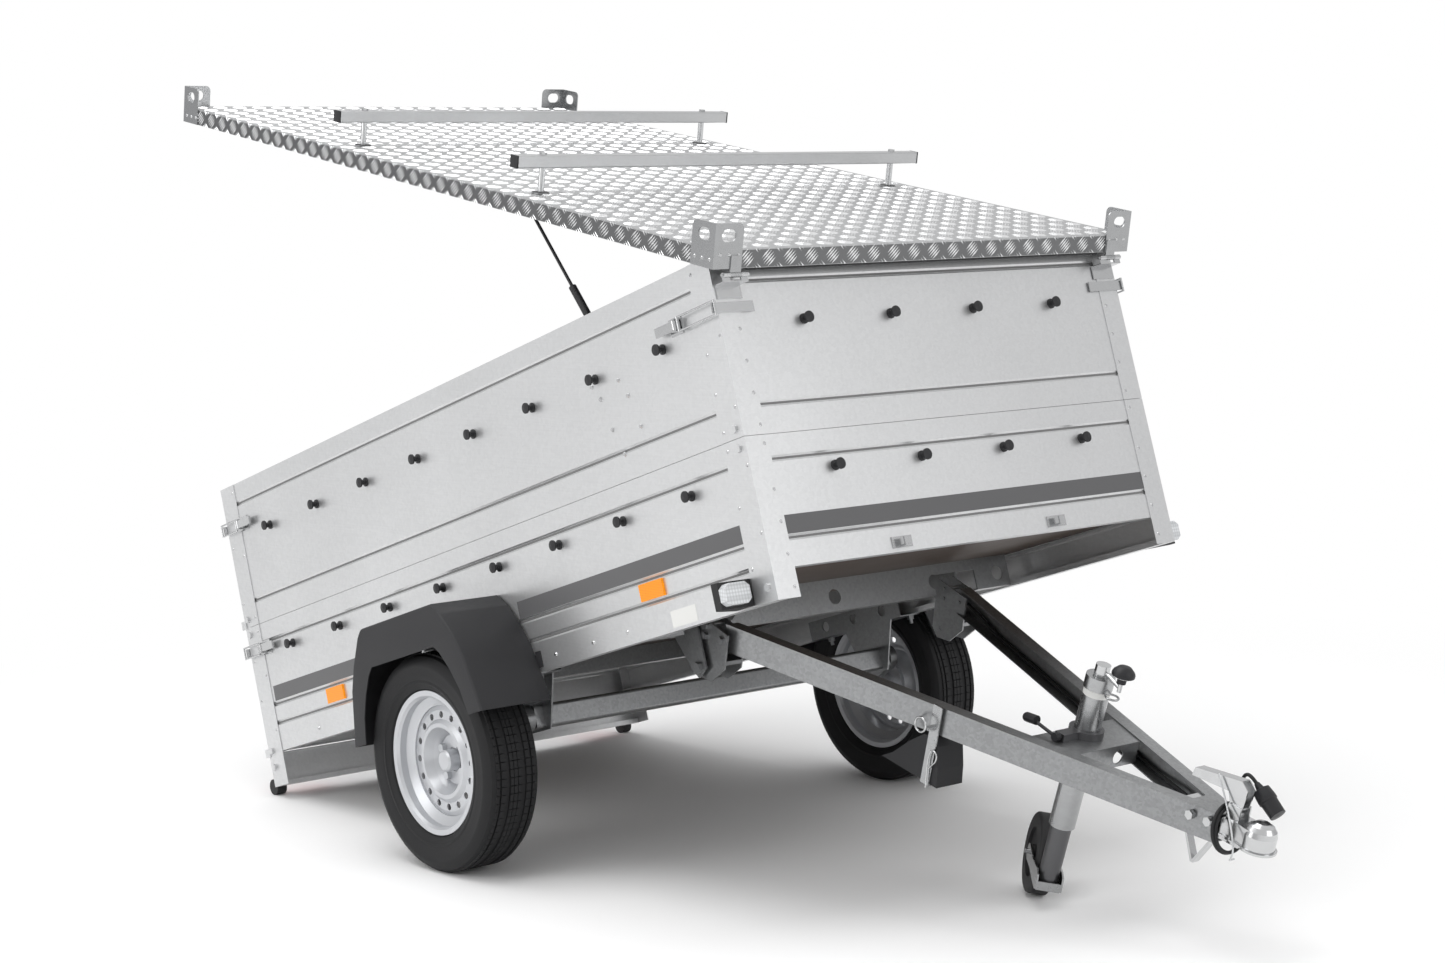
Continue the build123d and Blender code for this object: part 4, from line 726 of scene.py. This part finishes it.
def tread_field(name, corner, along, across, groups, counts, lip=None):
    """Five-bar groups repeated over the sheet, and cut off at both edges of a lip."""
    bm = bmesh.new()
    for spot, turn in groups:
        five_bars(bm, spot, turn)
    under = [f for f in bm.faces if all(v.co.z < 0.01 for v in f.verts)]
    bmesh.ops.delete(bm, geom=under, context="FACES_ONLY")
    if lip:
        for edge, out in ((LIP_EDGE, -1), (lip - LIP_EDGE, 1)):
            geom = list(bm.verts) + list(bm.edges) + list(bm.faces)
            bmesh.ops.bisect_plane(bm, geom=geom, plane_co=(0, edge, 0), plane_no=(0, out, 0),
                                   clear_outer=True)
    axes = Matrix((along, across, along.cross(across))).transposed().to_4x4()
    field = mesh_piece(name, bm, tread_aluminium_painted_highlight, "lid",
                       LID_PLACE @ Matrix.Translation(Vector(corner) / 1000) @ axes)
    turned = LID_PLACE.to_3x3()
    for count, step in counts:
        rows = field.modifiers.new("rows", "ARRAY")
        rows.use_relative_offset = False
        rows.use_constant_offset = True
        rows.constant_offset_displace = turned @ step / 1000
        rows.count = count


RISING, FALLING = radians(45), radians(-45)
for name, share, turn, fewer in (("tread_top", 0.5, RISING, 0), ("tread_top_between", 1.0, FALLING, 1)):
    tread_field(name, (LID_TAIL, -LID_WIDTH / 2, LID_TOP), X_AXIS, Y_AXIS,
                [((TILE_X * share, TILE_Y * share), turn)],
                ((TILES_LONG - fewer, X_AXIS * TILE_X), (TILES_WIDE - fewer, Y_AXIS * TILE_Y)))
# Thin dark sheets on the lid's folded lips are painted shade on the lid's own aluminium.
lip_painted_shade = zinc_material("lip_painted_shade", (0.17, 0.172, 0.175), 0.34, 0.95, 40.0, 0.02, 0.05)
shade_skins = bmesh.new()
SKIN, SKIN_RISE = 0.3, (LID_LOW + 1, LID_TOP - 3)
for side in (-1, 1):
    face = sorted((side * 655.0, side * (655.0 + SKIN)))
    slab(shade_skins, (LID_TAIL + 4, LID_NOSE - 4), face, SKIN_RISE, 0.1)
for x in (LID_NOSE, LID_TAIL - SKIN):
    slab(shade_skins, (x, x + SKIN), (-651, 651), SKIN_RISE, 0.1)
mesh_piece("lip_painted_shade_faces", shade_skins, lip_painted_shade, "lid", LID_PLACE)
for name, corner, along, tile, count in (
        ("tread_nose", (LID_NOSE, -LID_WIDTH / 2, LID_LOW), Y_AXIS, TILE_Y, TILES_WIDE),
        ("tread_tail", (LID_TAIL, LID_WIDTH / 2, LID_LOW), -Y_AXIS, TILE_Y, TILES_WIDE),
        ("tread_right", (LID_TAIL, -LID_WIDTH / 2, LID_LOW), X_AXIS, TILE_X, TILES_LONG),
        ("tread_left", (LID_NOSE, LID_WIDTH / 2, LID_LOW), -X_AXIS, TILE_X, TILES_LONG)):
    for suffix, groups, fewer in (
            ("", [((tile * 0.5, LIP / 2), RISING)], 0),
            ("_between", [((tile, LIP / 2 + tile * half), FALLING) for half in (-0.5, 0.5)], 1)):
        tread_field(name + suffix, corner, along, Z_AXIS, groups, ((count - fewer, along * tile),), LIP)

# ------------------------------------------------------------------ lid's seal and corner rivets
# A black rubber strip under the lid's nose closes the gap to the front board. Blind
# rivets hold the corner plates to the lid's lips.

seal = bmesh.new()
slab(seal, (-24, -7), (-556, 556), (7.5, 13.2), 1.5)
mesh_piece("lid_seal", seal, soft_black, "lid", LID_PLACE)

rivet_heads = bmesh.new()
for side in (-1, 1):
    for x in (-16, -42, -68, -2336, -2362, -2388):
        spot = Matrix.Translation((x, side * 658, 32)) @ TURN_OUT[side]
        dome_head(rivet_heads, spot, 4.6, 2.2)
    for y in (588, 614, 640):
        dome_head(rivet_heads, Matrix.Translation((-1.8, side * y, 44)) @ TURN_FRONT, 4.6, 2.2)
mesh_piece("lid_rivets", rivet_heads, bright_zinc, "lid", LID_PLACE)

# ------------------------------------------------------------------ roof bars
# Square extruded aluminium bars with black end plugs, on steel posts that stand on
# black rubber pads.

bar_aluminium = zinc_material("bar_aluminium", (0.50, 0.505, 0.51), 0.33, 0.95, 40.0, 0.02, 0.08)
finish_node("roof_bars", bar_aluminium)
PLUG_HALF, PAD_HEIGHT = 15.4, 4.2
plugs = bmesh.new()
for back in (780.0, 1590.0):
    x, z = LID_NOSE - back, LID_TOP + 78
    for side in (-1, 1):
        end = sorted((side * 644.8, side * 649.6))
        slab(plugs, (x - PLUG_HALF, x + PLUG_HALF), end, (z - PLUG_HALF, z + PLUG_HALF), 1.2)
        pad = bmesh.ops.create_cone(plugs, cap_ends=True, segments=28, radius1=23, radius2=20,
                                    depth=PAD_HEIGHT)["verts"]
        foot = Matrix.Translation((x, side * 565, LID_TOP + PAD_HEIGHT / 2))
        bmesh.ops.transform(plugs, matrix=foot, verts=pad)
mesh_piece("bar_plugs_and_pads", plugs, black_plastic, "lid", LID_PLACE, smooth=35)

# ------------------------------------------------------------------ jockey wheel's knob and label
# The crank ends in a black mushroom knob. The tube's head carries a narrow pale label,
# high enough to clear the clamp when the tube is at its lowest.

JOCKEY_FOOT, JOCKEY_LEAN = (0.8314, 0, 0.1172), radians(3.8)
JOCKEY_PLACE = DRAW_PLACE @ Matrix.Translation(JOCKEY_FOOT) @ Matrix.Rotation(JOCKEY_LEAN, 4, "Y")


def spun(name, line, material, body, place, steps=28):
    """A turned piece about its own Z from an outline of radius and height."""
    bm = bmesh.new()
    knots = [bm.verts.new((r, 0, z)) for r, z in line]
    edges = [bm.edges.new(pair) for pair in zip(knots, knots[1:])]
    bmesh.ops.spin(bm, geom=knots + edges, cent=(0, 0, 0), axis=(0, 0, 1), angle=2 * pi, steps=steps,
                   use_merge=True)
    bmesh.ops.remove_doubles(bm, verts=bm.verts, dist=0.01)
    return mesh_piece(name, bm, material, body, place, smooth=35)


KNOB_FOOT = (0.065, -0.007, 0.162)
LABEL_LOW, LABEL_HIGH = 102, 120.5
knob_line = [(0, -0.4), (10.4, -0.4), (10.8, 11), (25, 17.4), (26.4, 19), (26.4, 24), (24, 29), (15, 38),
             (8, 40.2), (0, 40.4)]
label_line = [(30.1, LABEL_LOW), (30.3, LABEL_LOW), (30.3, LABEL_HIGH), (30.1, LABEL_HIGH), (30.1, LABEL_LOW)]
spun("crank_knob", knob_line, black_plastic, "crank",
     JOCKEY_PLACE @ Matrix.Translation(KNOB_FOOT))
spun("tube_label", label_line, label_film, "outer_tube", JOCKEY_PLACE, 40)

bpy.context.view_layer.update()
